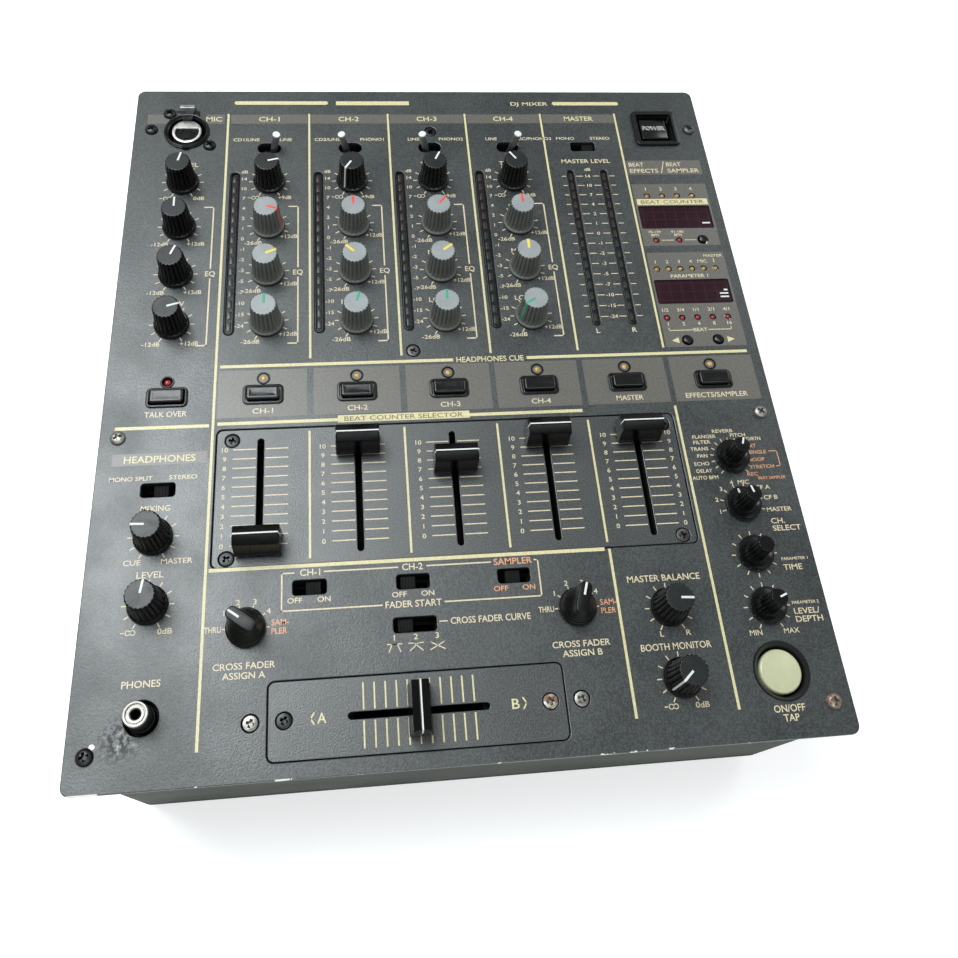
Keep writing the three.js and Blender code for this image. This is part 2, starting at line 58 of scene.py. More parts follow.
PANEL_WIDTH = (panel_high.x - panel_low.x) / MM
PANEL_DEPTH = (panel_high.y - panel_low.y) / MM
UNDERSIDE = panel_low.z / MM
SHEET = 2.0
TOP = UNDERSIDE + SHEET
PLATE_TOP = TOP - 0.3
HOUSING = "housing"
# Edges sharper than this many degrees stay crisp: on flat sheets nearly all of them do.
SHEET_ANGLE = 12.0
SOFT_ANGLE = 35.0


def spot(node):
    """The middle of a CAD node, seen from above."""
    low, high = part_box(node)
    middle = (low + high) / 2 - panel_low
    return middle.x / MM, middle.y / MM


def extent(node):
    """A CAD node's width, depth, lowest and highest height."""
    low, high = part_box(node)
    return (high.x - low.x) / MM, (high.y - low.y) / MM, low.z / MM, high.z / MM


CHANNELS = (1, 2, 3, 4)
TONES = ("hi", "mid", "low")
CUES = [f"channel_{channel}_cue_button" for channel in CHANNELS]
BAR_BUTTONS = ["talk_over_button", *CUES, "master_cue_button", "effect_cue_button"]
STRIPS = [spot(name)[0] for name in BAR_BUTTONS]
STRIP_EDGES = (94.4, 138.4, 182.4, 226.3, 270.4)
CUE_Y = spot("talk_over_button")[1]
TOGGLES = [f"channel_{channel}_input_toggle" for channel in CHANNELS]
TOGGLE_PLACES = [(STRIPS[channel] + 0.4, spot(name)[1]) for channel, name in zip(CHANNELS, TOGGLES)]
FADERS = [f"channel_{channel}_fader" for channel in CHANNELS] + ["master_fader"]
FADER_MIDDLE = 116.9
FADER_TRAVEL = 45.0
SCALE_PITCH = FADER_TRAVEL / 10
SLOT_LENGTH = FADER_TRAVEL + 10.2
SLOT_WIDTH = 2.9
FADER_PLATE = (159.8, 117.05, 215.2, 64.3)
CROSS_PLATE = (137.3, 21.75, 120.4, 29.9)
PLATE_CORNER = 2.6
PLATE_GAP = 0.45
METER_MIDDLE = 250.4
METER_LENGTH = 101.2
METER_SCALE = (14, 10, 7, 4, 2, 1, 0, -1, -2, -3, -5, -7, -10, -15, -24)
METER_ROWS = [296.4 - 6.54 * step for step in range(len(METER_SCALE))]
METER_RED_ROWS = 6
METERS = [(STRIPS[channel] - 17.3, 4.9) for channel in CHANNELS]
METERS += [(STRIPS[5] - 9.9, 4.0), (STRIPS[5] + 9.0, 4.0)]
DISPLAYS = [(293.1, 267.3, 40.6, 15.4), (293.1, 218.9, 40.6, 14.9)]
MICROPHONE = spot("microphone_socket")
PHONES = (28.0, 26.5)
PHONES_TOP = 101.0
ROWS = [spot(f"microphone_{row}_knob")[1] for row in ("level", *TONES)]

SLIDES = {
    "master_mono_switch": (248.2, 317.9, 14.2),
    "headphones_mono_switch": (27.6, 121.6, 14.8),
    "fader_start_1_switch": (93.7, 74.6, 14.4),
    "fader_start_2_switch": (137.8, 74.6, 14.4),
    "fader_start_sampler_switch": (181.8, 74.6, 14.4),
    "crossfader_curve_switch": (137.6, 56.3, 18.4),
}
SLIDE_WINDOW_DEPTH = 6.4

AMBER_LAMPS = [(x, CUE_Y + 8.6) for x in STRIPS[1:]]
RED_LAMPS = [(STRIPS[0] - 0.3, CUE_Y + 8.1)]
COUNTER_LAMPS = [(279.4 + 8.6 * step, 282.0) for step in range(4)]
BAND_LAMPS = [(279.1, 251.8), (291.9, 251.8)]
SOURCE_LAMPS = [(275.9 + 6.45 * step, 233.2) for step in range(6)]
BEAT_LAMPS = [(275.6 + 8.15 * step, 203.0) for step in range(5)]
TACT_BUTTONS = [(305.2, 251.9), (283.9, 189.6), (300.1, 189.6)]

# Screws as (x, y, paint): domed heads on the panel, flat ones sunk in it and in the plates.
DOMED_SCREWS = ((9.2, 331.1, "screw"), (8.2, 147.2, "zinc"), (8.0, 13.7, "screw"),
                (311.4, 13.4, "rusty"), (312.0, 148.0, "zinc"), (313.0, 330.1, "dusty"),
                (18.2, 342.5, "screw"), (40.7, 319.7, "screw"))
SUNK_SCREWS = ((144.4, 188.4, "dusty"), (161.9, 329.5, "screw"), (70.2, 21.7, "zinc"), (204.4, 21.8, "zinc"))
FADER_PLATE_SCREWS = ((59.0, 144.0, "screw"), (58.3, 88.8, "screw"),
                      (261.2, 88.7, "dusty"), (262.0, 144.0, "screw"))
CROSS_PLATE_SCREWS = ((83.4, 21.8, "screw"), (191.4, 21.8, "rusty"))


# ---------- Outlines ----------

def polar(radius, degrees, x=0.0, y=0.0):
    """The point at a distance and a direction from (x, y)."""
    angle = math.radians(degrees)
    return x + radius * math.cos(angle), y + radius * math.sin(angle)


def circle(radius, x=0.0, y=0.0, steps=32):
    return [polar(radius, 360 * step / steps, x, y) for step in range(steps)]


def rounded(width, depth, corner, x=0.0, y=0.0, steps=6):
    """A rectangle with round corners, anticlockwise from its right-hand side."""
    points = []
    for quadrant, (side, end) in enumerate(((1, 1), (-1, 1), (-1, -1), (1, -1))):
        middle = x + side * (width / 2 - corner), y + end * (depth / 2 - corner)
        points += [polar(corner, 90 * (quadrant + step / steps), *middle) for step in range(steps + 1)]
    return points


def obround(width, depth, x=0.0, y=0.0):
    return rounded(width, depth, min(width, depth) / 2 - 0.01, x, y, 8)


# ---------- Building meshes ----------

class Form:
    """Geometry for one piece, gathered in millimetres and placed by the current matrix."""

    def __init__(self):
        self.bm = bmesh.new()
        self.matrix = Matrix.Identity(4)

    def at(self, x=0.0, y=0.0, z=0.0, turn=0.0, tilt=None):
        """Places what comes next; turn is in degrees about Z, tilt a rotation applied before it."""
        spin = Matrix.Rotation(math.radians(turn), 4, "Z")
        self.matrix = Matrix.Translation((x, y, z)) @ spin @ (tilt or Matrix.Identity(4))
        return self

    def ring(self, points, z):
        return [self.bm.verts.new(self.matrix @ Vector((x, y, z))) for x, y in points]

    def stack(self, levels, loop=False):
        """Skins outlines of equal count, one above the other. levels are (outline, height) pairs."""
        rings = [self.ring(points, z) for points, z in levels]
        pairs = list(zip(rings, rings[1:]))
        if loop:
            pairs.append((rings[-1], rings[0]))
        for below, above in pairs:
            count = len(below)
            for index in range(count):
                after = (index + 1) % count
                self.bm.faces.new((below[index], below[after], above[after], above[index]))
        if not loop:
            self.bm.faces.new(reversed(rings[0]))
            self.bm.faces.new(rings[-1])
        return self

    def turned(self, profile, steps=40, loop=False, x=0.0, y=0.0):
        """A solid of revolution from radius and height pairs, listed upwards."""
        return self.stack([(circle(radius, x, y, steps), z) for radius, z in profile], loop)

    def block(self, width, depth, low, high, corner=0.4, edge=0.3, x=0.0, y=0.0, steps=3):
        """An upright block with round corners and a rounded top edge."""
        levels = [(0.0, low), (0.0, high - edge), (0.3 * edge, high - 0.3 * edge), (edge, high)]
        outlines = []
        for inset, z in levels:
            radius = max(corner - inset, 0.05)
            outlines.append((rounded(width - 2 * inset, depth - 2 * inset, radius, x, y, steps), z))
        return self.stack(outlines)

    def bezel(self, outer, inner, corner, low, high, x, y):
        """A raised frame between two rounded rectangles, (width, depth) each, with soft edges."""
        hole = max(corner - (outer[0] - inner[0]) / 2, 0.4)
        section = (
            (outer, 0.0, corner, low),
            (outer, 0.0, corner, high - 0.35),
            (outer, -0.25, corner, high - 0.1),
            (outer, -0.7, corner - 0.2, high),
            (inner, 0.5, hole + 0.2, high),
            (inner, 0.0, hole, high - 0.3),
            (inner, 0.0, hole, low),
        )
        return self.stack([(rounded(width + grow, depth + grow, radius, x, y), z)
                           for (width, depth), grow, radius, z in section], loop=True)

    def add_mesh(self, mesh):
        before = len(self.bm.verts)
        self.bm.from_mesh(mesh)
        self.bm.verts.ensure_lookup_table()
        fresh = self.bm.verts[before:]
        bmesh.ops.transform(self.bm, matrix=self.matrix, verts=fresh)
        return self

    def plate(self, outline, holes, low, high, edge=0.15):
        """A flat sheet with holes and softened edges."""
        curve = bpy.data.curves.new("plate", "CURVE")
        curve.dimensions = "2D"
        curve.fill_mode = "BOTH"
        curve.extrude = (high - low) / 2 - edge
        curve.bevel_depth = edge
        curve.bevel_resolution = 1
        curve.offset = -edge
        for points in (outline, *holes):
            spline = curve.splines.new("POLY")
            spline.points.add(len(points) - 1)
            for point, (x, y) in zip(spline.points, points):
                point.co = (x, y, 0.0, 1.0)
            spline.use_cyclic_u = True
        holder = bpy.data.objects.new("plate", curve)
        mesh = holder.to_mesh()
        saved = self.matrix
        self.matrix = saved @ Matrix.Translation((0.0, 0.0, (low + high) / 2))
        self.add_mesh(mesh)
        self.matrix = saved
        bpy.data.objects.remove(holder)
        return self

    def finish(self, name, paint, slot, rides=None, hides=None, angle=SOFT_ANGLE):
        """Makes the piece in metres. rides and hides are CAD nodes that it moves with and stands for."""
        bmesh.ops.remove_doubles(self.bm, verts=self.bm.verts, dist=1e-4)
        corner = Vector((panel_low.x, panel_low.y, 0.0))
        to_row = Matrix.Translation(corner) @ Matrix.Scale(MM, 4)
        self.bm.transform(to_row)
        bmesh.ops.recalc_face_normals(self.bm, faces=self.bm.faces)
        mesh = bpy.data.meshes.new(name)
        self.bm.to_mesh(mesh)
        self.bm.free()
        mesh.materials.append(PAINT[paint])
        mesh.shade_smooth()
        mesh.set_sharp_from_angle(angle=math.radians(angle))
        piece = bpy.data.objects.new(name, mesh)
        bpy.context.scene.collection.objects.link(piece)
        if hides:
            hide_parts(hides)
        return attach(piece, f"{rides}_body" if rides else HOUSING)


# ---------- Materials ----------

class Shader:
    """One material's node tree. Sizes are in metres, as the row frame is."""

    def __init__(self, name):
        self.material = bpy.data.materials.new(name)
        self.material.use_nodes = True
        self.nodes = self.material.node_tree.nodes
        self.links = self.material.node_tree.links
        self.surface = self.nodes["Principled BSDF"]
        self.place = self.nodes.new("ShaderNodeTexCoord").outputs["Object"]

    def put(self, value, socket):
        if isinstance(value, bpy.types.NodeSocket):
            self.links.new(value, socket)
        elif isinstance(value, (tuple, list)) and len(socket.default_value) == 4 and len(value) == 3:
            socket.default_value = (*value, 1.0)
        else:
            socket.default_value = value

    def set(self, **inputs):
        """Sets inputs of the surface; underscores in the names stand for spaces."""
        for name, value in inputs.items():
            self.put(value, self.surface.inputs[name.replace("_", " ")])
        return self

    def noise(self, scale, detail=3.0, stretch=(1, 1, 1), offset=0.0):
        mapping = self.nodes.new("ShaderNodeMapping")
        mapping.inputs["Scale"].default_value = stretch
        mapping.inputs["Location"].default_value = (offset, offset * 0.7, offset * 0.3)
        self.links.new(self.place, mapping.inputs["Vector"])
        noise = self.nodes.new("ShaderNodeTexNoise")
        noise.inputs["Scale"].default_value = scale
        noise.inputs["Detail"].default_value = detail
        self.links.new(mapping.outputs["Vector"], noise.inputs["Vector"])
        return noise.outputs["Fac"]

    def math(self, operation, first, second=0.0, clamp=False):
        node = self.nodes.new("ShaderNodeMath")
        node.operation = operation
        node.use_clamp = clamp
        self.put(first, node.inputs[0])
        self.put(second, node.inputs[1])
        return node.outputs[0]

    def ramp(self, value, stops):
        """stops are (position, colour) pairs; a bare number is a grey."""
        node = self.nodes.new("ShaderNodeValToRGB")
        self.links.new(value, node.inputs["Fac"])
        elements = node.color_ramp.elements
        while len(elements) < len(stops):
            elements.new(0.5)
        for element, (position, colour) in zip(elements, stops):
            rgb = colour if isinstance(colour, tuple) else (colour, colour, colour)
            element.position = position
            element.color = (*rgb, 1.0)
        return node.outputs["Color"]

    def mix(self, factor, first, second):
        node = self.nodes.new("ShaderNodeMix")
        node.data_type = "RGBA"
        self.put(factor, node.inputs["Factor"])
        self.put(first, node.inputs["A"])
        self.put(second, node.inputs["B"])
        return node.outputs["Result"]

    def near(self, x, y, reach):
        """1 at a point of the panel given in millimetres, falling to 0 at reach."""
        target = Vector((panel_low.x + x * MM, panel_low.y + y * MM, TOP * MM))
        node = self.nodes.new("ShaderNodeVectorMath")
        node.operation = "DISTANCE"
        self.links.new(self.place, node.inputs[0])
        node.inputs[1].default_value = target
        share = self.math("DIVIDE", node.outputs["Value"], reach * MM)
        return self.math("SUBTRACT", 1.0, share, clamp=True)

    def axis(self, name):
        node = self.nodes.new("ShaderNodeSeparateXYZ")
        self.links.new(self.place, node.inputs[0])
        return node.outputs[name]

    def bump(self, height, distance):
        node = self.nodes.new("ShaderNodeBump")
        node.inputs["Distance"].default_value = distance
        self.links.new(height, node.inputs["Height"])
        self.links.new(node.outputs["Normal"], self.surface.inputs["Normal"])
        return self


def speckled_paint(name, dark, light, seed):
    """Dark paint with a fine hammered grain. Returns the shader, its grain, its slow cloud and its colour."""
    shader = Shader(name)
    grain = shader.noise(1450.0, 2.5, offset=seed)
    cloud = shader.noise(30.0, 4.0, offset=seed + 1)
    colour = shader.ramp(grain, [(0.42, dark), (0.62, light)])
    colour = shader.mix(shader.ramp(cloud, [(0.4, 0.0), (0.8, 0.12)]), colour, light)
    return shader, grain, cloud, colour


def panel_paint():
    dark, light = (0.0012, 0.0022, 0.0024), (0.027, 0.037, 0.037)
    shader, grain, cloud, colour = speckled_paint("panel_paint", dark, light, 0.0)
    # Greasy wear beside the headphones socket.
    worn = shader.math("MULTIPLY", shader.near(20.5, 19.0, 10.5), 1.3, clamp=True)
    blotch = shader.noise(640.0, 5.0, offset=3.0)
    dark_wear = shader.math("MULTIPLY", worn, shader.ramp(blotch, [(0.47, 0.0), (0.55, 1.0)]))
    pale_wear = shader.math("MULTIPLY", worn, shader.ramp(blotch, [(0.32, 0.8), (0.38, 0.0)]))
    colour = shader.mix(dark_wear, colour, (0.006, 0.007, 0.007))
    colour = shader.mix(pale_wear, colour, (0.24, 0.25, 0.25))
    # Chips to bare metal along the front edge, at its left-hand end and by the front left screw.
    inward = shader.math("SUBTRACT", shader.axis("Y"), panel_low.y)
    at_edge = shader.math("LESS_THAN", inward, 0.55 * MM)
    flakes = shader.ramp(shader.noise(170.0, 5.0, offset=6.0), [(0.62, 0.0), (0.63, 1.0)])
    chips = shader.math("MULTIPLY", at_edge, flakes)
    ragged = shader.noise(420.0, 4.0, offset=8.0)
    corner = shader.math("MULTIPLY", shader.near(4.0, 0.0, 15.0), at_edge)
    corner = shader.math("GREATER_THAN", shader.math("MULTIPLY", corner, ragged), 0.16)
    spot_chip = shader.math("MULTIPLY", shader.near(10.5, 17.3, 1.9), ragged)
    chips = shader.math("MAXIMUM", chips, corner)
    chips = shader.math("MAXIMUM", chips, shader.math("GREATER_THAN", spot_chip, 0.2))
    colour = shader.mix(chips, colour, (0.62, 0.63, 0.58))
    gloss = shader.ramp(cloud, [(0.33, 0.35), (0.67, 0.48)])
    gloss = shader.mix(dark_wear, gloss, (0.7, 0.7, 0.7))
    shader.set(Base_Color=colour, Roughness=gloss, Specular_IOR_Level=0.9)
    return shader.bump(grain, 9e-5).material


def plate_paint():
    dark, light = (0.0018, 0.003, 0.0032), (0.032, 0.041, 0.041)
    shader, grain, cloud, colour = speckled_paint("plate_paint", dark, light, 12.0)
    scratch = shader.noise(60.0, 5.0, stretch=(1, 26, 1), offset=15.0)
    colour = shader.mix(shader.ramp(scratch, [(0.72, 0.0), (0.74, 0.2)]), colour, (0.2, 0.21, 0.21))
    gloss = shader.ramp(cloud, [(0.3, 0.34), (0.7, 0.42)])
    shader.set(Base_Color=colour, Roughness=gloss, Specular_IOR_Level=1.0)
    return shader.bump(grain, 9e-5).material


def case_paint(name, dark, light, rough):
    shader = Shader(name)
    cloud = shader.noise(26.0, 5.0, offset=2.0)
    grain = shader.noise(1600.0, 2.0, offset=5.0)
    colour = shader.ramp(cloud, [(0.3, dark), (0.7, light)])
    rub = shader.noise(45.0, 6.0, stretch=(0.25, 1, 2.5), offset=9.0)
    colour = shader.mix(shader.ramp(rub, [(0.7, 0.0), (0.75, 0.25)]), colour, (0.12, 0.13, 0.115))
    gloss = shader.ramp(cloud, [(0.3, rough), (0.7, rough + 0.12)])
    shader.set(Base_Color=colour, Roughness=gloss, Specular_IOR_Level=0.06)
    return shader.bump(grain, 2.5e-5).material


def plastic(name, dark, light, rough, sheen=0.5, depth=1.2e-5):
    """Moulded plastic: slight colour drift, a fine mould grain and some finger polish."""
    shader = Shader(name)
    cloud = shader.noise(140.0, 3.0)
    grain = shader.noise(2200.0, 2.0, offset=3.0)
    colour = shader.ramp(cloud, [(0.3, dark), (0.72, light)])
    polish = shader.noise(260.0, 4.0, offset=5.0)
    gloss = shader.ramp(polish, [(0.3, rough - 0.05), (0.7, rough + 0.06)])
    shader.set(Base_Color=colour, Roughness=gloss, Specular_IOR_Level=sheen)
    return shader.bump(grain, depth).material


def metal(name, dark, light, rough, rust=None, brushed=(1, 1, 1)):
    shader = Shader(name)
    grain = shader.noise(260.0, 3.0, stretch=brushed)
    colour = shader.ramp(grain, [(0.3, dark), (0.7, light)])
    metallic = 1.0
    if rust:
        stain = shader.ramp(shader.noise(620.0, 4.0, offset=7.0), [(0.44, 0.0), (0.56, 1.0)])
        colour = shader.mix(stain, colour, rust)
        metallic = shader.math("SUBTRACT", 1.0, stain)
    shader.set(
        Base_Color=colour,
        Metallic=metallic,
        Roughness=shader.ramp(grain, [(0.3, rough), (0.7, rough + 0.15)]),
    )
    return shader.bump(shader.noise(1600.0, 2.0), 4e-6).material


def print_ink(name, dark, light, rough=0.46):
    """Screen-printed ink, a little uneven, with the paint's grain under it."""
    shader = Shader(name)
    patch = shader.noise(900.0, 3.0, offset=2.0)
    colour = shader.ramp(patch, [(0.34, dark), (0.62, light)])
    shader.set(Base_Color=colour, Roughness=rough, Specular_IOR_Level=0.8)
    return shader.bump(shader.noise(950.0, 3.0), 3e-5).material


def lens(name, rim, core, rough=0.18, coat=0.25):
    """A moulded lens: a darker and a lighter tone mixed by fine noise, with a little depth."""
    shader = Shader(name)
    patch = shader.noise(800.0, 2.0)
    colour = shader.ramp(patch, [(0.35, rim), (0.65, core)])
    shader.set(Base_Color=colour, Roughness=rough, Coat_Weight=coat, Coat_Roughness=0.08)
    return shader.bump(patch, 1e-5).material


def display_glass():
    """A dark red filter over unlit digits, whose bars just show."""
    shader = Shader("display_red")
    bars = [shader.math("PINGPONG", shader.math("MULTIPLY", shader.axis(axis), 1 / (pitch * MM)), 1.0)
            for axis, pitch in (("X", 3.1), ("Y", 2.6))]
    bars = shader.math("MAXIMUM", *bars)
    colour = shader.ramp(bars, [(0.86, (0.017, 0.004, 0.008)), (0.94, (0.03, 0.009, 0.014))])
    shader.set(Base_Color=colour, Roughness=0.5, Specular_IOR_Level=0.1)
    return shader.bump(shader.noise(120.0, 2.0), 4e-6).material


def circuit_green():
    shader = Shader("circuit_board")
    traces = shader.nodes.new("ShaderNodeTexBrick")
    traces.inputs["Scale"].default_value = 260.0
    traces.inputs["Color1"].default_value = (0.008, 0.085, 0.035, 1.0)
    traces.inputs["Color2"].default_value = (0.012, 0.11, 0.045, 1.0)
    traces.inputs["Mortar"].default_value = (0.03, 0.2, 0.08, 1.0)
    shader.links.new(shader.place, traces.inputs["Vector"])
    shader.set(Base_Color=traces.outputs["Color"], Roughness=0.35)
    return shader.bump(traces.outputs["Fac"], 2e-5).material


def glow_plastic():
    shader = Shader("glow_plastic")
    cloud = shader.noise(90.0, 3.0)
    shader.set(
        Base_Color=shader.ramp(cloud, [(0.3, (0.418, 0.428, 0.269)), (0.7, (0.487, 0.492, 0.325))]),
        Roughness=0.3,
        Subsurface_Weight=0.35,
        Subsurface_Radius=(0.004, 0.004, 0.002),
        Coat_Weight=0.3,
    )
    return shader.bump(shader.noise(1500.0, 2.0), 8e-6).material


def rubber():
    shader = Shader("foot_rubber")
    dust = shader.noise(300.0, 4.0)
    colour = shader.ramp(dust, [(0.4, (0.012, 0.012, 0.012)), (0.7, (0.035, 0.034, 0.032))])
    shader.set(Base_Color=colour, Roughness=0.8)
    return shader.bump(shader.noise(1400.0, 2.0), 4e-5).material


PAINT = {
    "panel": panel_paint(),
    "plate": plate_paint(),
    "case": case_paint("chassis_paint", (0.024, 0.032, 0.022), (0.035, 0.044, 0.032), 0.5),
    "rear": case_paint("rear_paint", (0.018, 0.019, 0.02), (0.03, 0.031, 0.033), 0.45),
    "black": plastic("knob_black", (0.0008, 0.0009, 0.001), (0.0018, 0.002, 0.0021), 0.3, 0.26, 6e-6),
    "fader": plastic("fader_black", (0.0005, 0.0005, 0.0006), (0.0012, 0.0012, 0.0014), 0.24, 0.2, 6e-6),
    "slate": plastic("knob_slate", (0.0014, 0.0017, 0.0019), (0.003, 0.0034, 0.0037), 0.27, sheen=0.45),
    "grey": plastic("knob_grey", (0.094, 0.099, 0.09), (0.13, 0.137, 0.125), 0.37),
    # Tops of the grey knobs: the same grey plastic painted paler and bluer, a painted highlight for light
    # falling on the top.
    "pale": plastic("knob_grey_painted_highlight_top", (0.218, 0.235, 0.238), (0.265, 0.284, 0.287), 0.36),
    # Black plastic painted lighter, a painted highlight: the tops of the black knobs and the effect button's
    # ring.
    "slate_painted_highlight": plastic("knob_slate_painted_highlight_top", (0.0045, 0.006, 0.0064), (0.008, 0.01, 0.0107), 0.38, sheen=0.42),
    "button": plastic("button_black", (0.001, 0.0012, 0.0013), (0.0024, 0.0027, 0.0029), 0.2, 0.45, 3e-6),
    "bezel": plastic("bezel_black", (0.0014, 0.0017, 0.0017), (0.0038, 0.0042, 0.0043), 0.3, sheen=0.4),
    "socket": plastic("socket_black", (0.002, 0.002, 0.0022), (0.0045, 0.0045, 0.005), 0.36, sheen=0.35),
    "shade": plastic("dark_recess", (0.002, 0.002, 0.002), (0.004, 0.004, 0.004), 0.7, sheen=0.2),
    "white": plastic("pointer_white", (0.56, 0.57, 0.55), (0.66, 0.67, 0.65), 0.5),
    "bright": plastic("mark_white", (0.86, 0.87, 0.85), (0.94, 0.95, 0.93), 0.5),
    "red": plastic("pointer_red", (0.55, 0.05, 0.04), (0.66, 0.075, 0.055), 0.5),
    "yellow": plastic("pointer_yellow", (0.62, 0.46, 0.03), (0.72, 0.55, 0.05), 0.5),
    "green": plastic("pointer_green", (0.025, 0.25, 0.14), (0.04, 0.32, 0.19), 0.5),
    "glow": glow_plastic(),
    "plated": metal("plated_metal", (0.48, 0.47, 0.45), (0.64, 0.63, 0.6), 0.3),
    "gold": metal("contact_gold", (0.62, 0.42, 0.14), (0.8, 0.58, 0.24), 0.25),
    "lever": metal("lever_metal", (0.34, 0.345, 0.345), (0.48, 0.485, 0.485), 0.36),
    "screw": metal("screw_black", (0.022, 0.023, 0.024), (0.06, 0.061, 0.063), 0.3),
    "dusty": metal("screw_dusty", (0.05, 0.052, 0.05), (0.15, 0.15, 0.14), 0.4),
    "zinc": metal("screw_zinc", (0.16, 0.155, 0.14), (0.4, 0.39, 0.36), 0.34),
    "rusty": metal("screw_rusty", (0.24, 0.225, 0.2), (0.5, 0.48, 0.43), 0.36, rust=(0.14, 0.065, 0.03)),
    "board": circuit_green(),
    "can": metal("component_metal", (0.45, 0.45, 0.45), (0.6, 0.6, 0.6), 0.4, brushed=(1, 8, 1)),
    "gold_ink": print_ink("print_gold", (0.47, 0.425, 0.215), (0.58, 0.53, 0.295)),
    "cream_ink": print_ink("print_white", (0.47, 0.395, 0.245), (0.6, 0.525, 0.355)),
    "orange_ink": print_ink("print_orange", (0.5, 0.215, 0.1), (0.64, 0.3, 0.15)),
    "grey_ink": print_ink("print_grey", (0.072, 0.067, 0.057), (0.1, 0.094, 0.08), 0.38),
    "dark_ink": print_ink("print_dark", (0.1, 0.07, 0.03), (0.17, 0.12, 0.05)),
    "amber": lens("lens_amber", (0.34, 0.17, 0.03), (0.64, 0.38, 0.1)),
    "tan": lens("lens_tan", (0.24, 0.15, 0.05), (0.42, 0.28, 0.11)),
    "lamp_red": lens("lens_red", (0.13, 0.01, 0.013), (0.34, 0.028, 0.038)),
    "meter_red": lens("meter_red", (0.012, 0.006, 0.006), (0.03, 0.014, 0.014), 0.34, coat=0.06),
    "meter_green": lens("meter_green", (0.006, 0.01, 0.007), (0.014, 0.02, 0.016), 0.34, coat=0.06),
    "display": display_glass(),
    "rubber": rubber(),
}


# ---------- Screen print ----------

def mesh_of_words(words):
    """The mesh of one line of text, one unit of capital height tall, on the XY plane."""
    curve = bpy.data.curves.new("words", "FONT")
    curve.body = words
    curve.resolution_u = 3
    curve.offset = 0.011
    curve.extrude = 0.01
    holder = bpy.data.objects.new("words", curve)
    mesh = bpy.data.meshes.new_from_object(holder)
    bpy.data.objects.remove(holder)
    return mesh


CAPITAL = max(vertex.co.y for vertex in mesh_of_words("H").vertices)
LETTER_STRETCH = 1.16
# Print starts this far inside the surface that it lies on.
PRINT_FOOT = 0.02


class Ink(Form):
    """Thin print that lies on a surface, all of one colour."""

    def __init__(self, thickness):
        super().__init__()
        self.level = TOP
        self.thickness = thickness

    def area(self, points):
        return self.stack([(points, self.level - PRINT_FOOT), (points, self.level + self.thickness)])

    def bar(self, left, right, front, rear):
        return self.area([(left, front), (right, front), (right, rear), (left, rear)])

    def sheet(self, outline, holes):
        return self.plate(outline, holes, self.level - PRINT_FOOT, self.level + self.thickness, edge=0.004)

    def line(self, start, end, width):
        run = Vector(end) - Vector(start)
        side = Vector((-run.y, run.x)).normalized() * width / 2
        first = Vector(start)
        last = Vector(end)
        return self.area([tuple(p) for p in (first - side, last - side, last + side, first + side)])

    def path(self, points, width=0.6):
        for start, end in zip(points, points[1:]):
            reach = (Vector(end) - Vector(start)).normalized() * width / 2
            self.line(tuple(Vector(start) - reach), tuple(Vector(end) + reach), width)
        return self

    def hoop(self, x, y, radius, width):
        outer = circle(radius, x, y, 20)
        inner = circle(radius - width, x, y, 20)
        low = self.level - PRINT_FOOT
        high = self.level + self.thickness
        return self.stack([(outer, low), (outer, high), (inner, high), (inner, low)], loop=True)

    def words(self, text, x, y, height, width=None, align=0.5):
        """Prints text with its capitals' middle at y. align 0 starts it at x, 1 ends it there.
        Without a width, the letters are a little wider than the font's own."""
        mesh = mesh_of_words(text)
        xs = [vertex.co.x for vertex in mesh.vertices]
        left, natural = min(xs), max(xs) - min(xs)
        tall = height / CAPITAL
        wide = width / natural if width else tall * LETTER_STRETCH
        saved = self.matrix
        shift = (x - (left + natural * align) * wide, y - height / 2, self.level)
        squeeze = Matrix.Diagonal((wide, tall, self.thickness / 0.01, 1.0))
        self.matrix = Matrix.Translation(shift) @ squeeze
        self.add_mesh(mesh)
        self.matrix = saved
        return self

    def infinity(self, x, y, size=1.0):
        """A minus sign and a lying eight."""
        self.bar(x - 3.9 * size, x - 2.5 * size, y - 0.22, y + 0.22)
        self.hoop(x - 1.0 * size, y, 1.15 * size, 0.36)
        return self.hoop(x + 1.0 * size, y, 1.15 * size, 0.36)

    def ticks(self, x, y, angles, inner=8.7, outer=10.8, width=0.5):
        for angle in angles:
            self.line(polar(inner, angle, x, y), polar(outer, angle, x, y), width)
        return self

    def around(self, x, y, radius, labels, height):
        """Words round a knob: labels are (degrees, text). Each starts or ends next to its tick."""
        for angle, text in labels:
            across = math.cos(math.radians(angle))
            align = 0.0 if across > 0.35 else 1.0 if across < -0.35 else 0.5
            self.words(text, *polar(radius, angle, x, y), height, align=align)
        return self


gold = Ink(0.05)
cream = Ink(0.05)
orange = Ink(0.05)
grey = Ink(0.02)
dark = Ink(0.08)

FULL_SWEEP = range(240, -61, -30)


def print_header():
    """The titles along the rear edge."""
    band_front, band_rear = 335.6, 342.3
    bands = [(6.5, 18.0), (38.2, 48.0)]
    bands += [(51.5 + 44.0 * strip, 93.5 + 44.0 * strip) for strip in range(5)]
    for left, right in bands:
        grey.bar(left, right, band_front, band_rear)
    middle = (band_front + band_rear) / 2
    gold.words("MIC", 42.3, middle, 3.3, 8.6)
    for channel in CHANNELS:
        gold.words(f"CH-{channel}", STRIPS[channel], middle, 3.3, 11.4)
    gold.words("MASTER", STRIPS[5] + 0.3, middle, 3.3, 17.0)
    gold.area(obround(52.0, 2.6, 79.0, 351.0))
    gold.bar(109.5, 151.0, 349.4, 352.3)
    cream.words("DJ MIXER", 221.0, 350.4, 2.6, 22.0)
    gold.area(obround(39.7, 2.6, 254.4, 350.6))


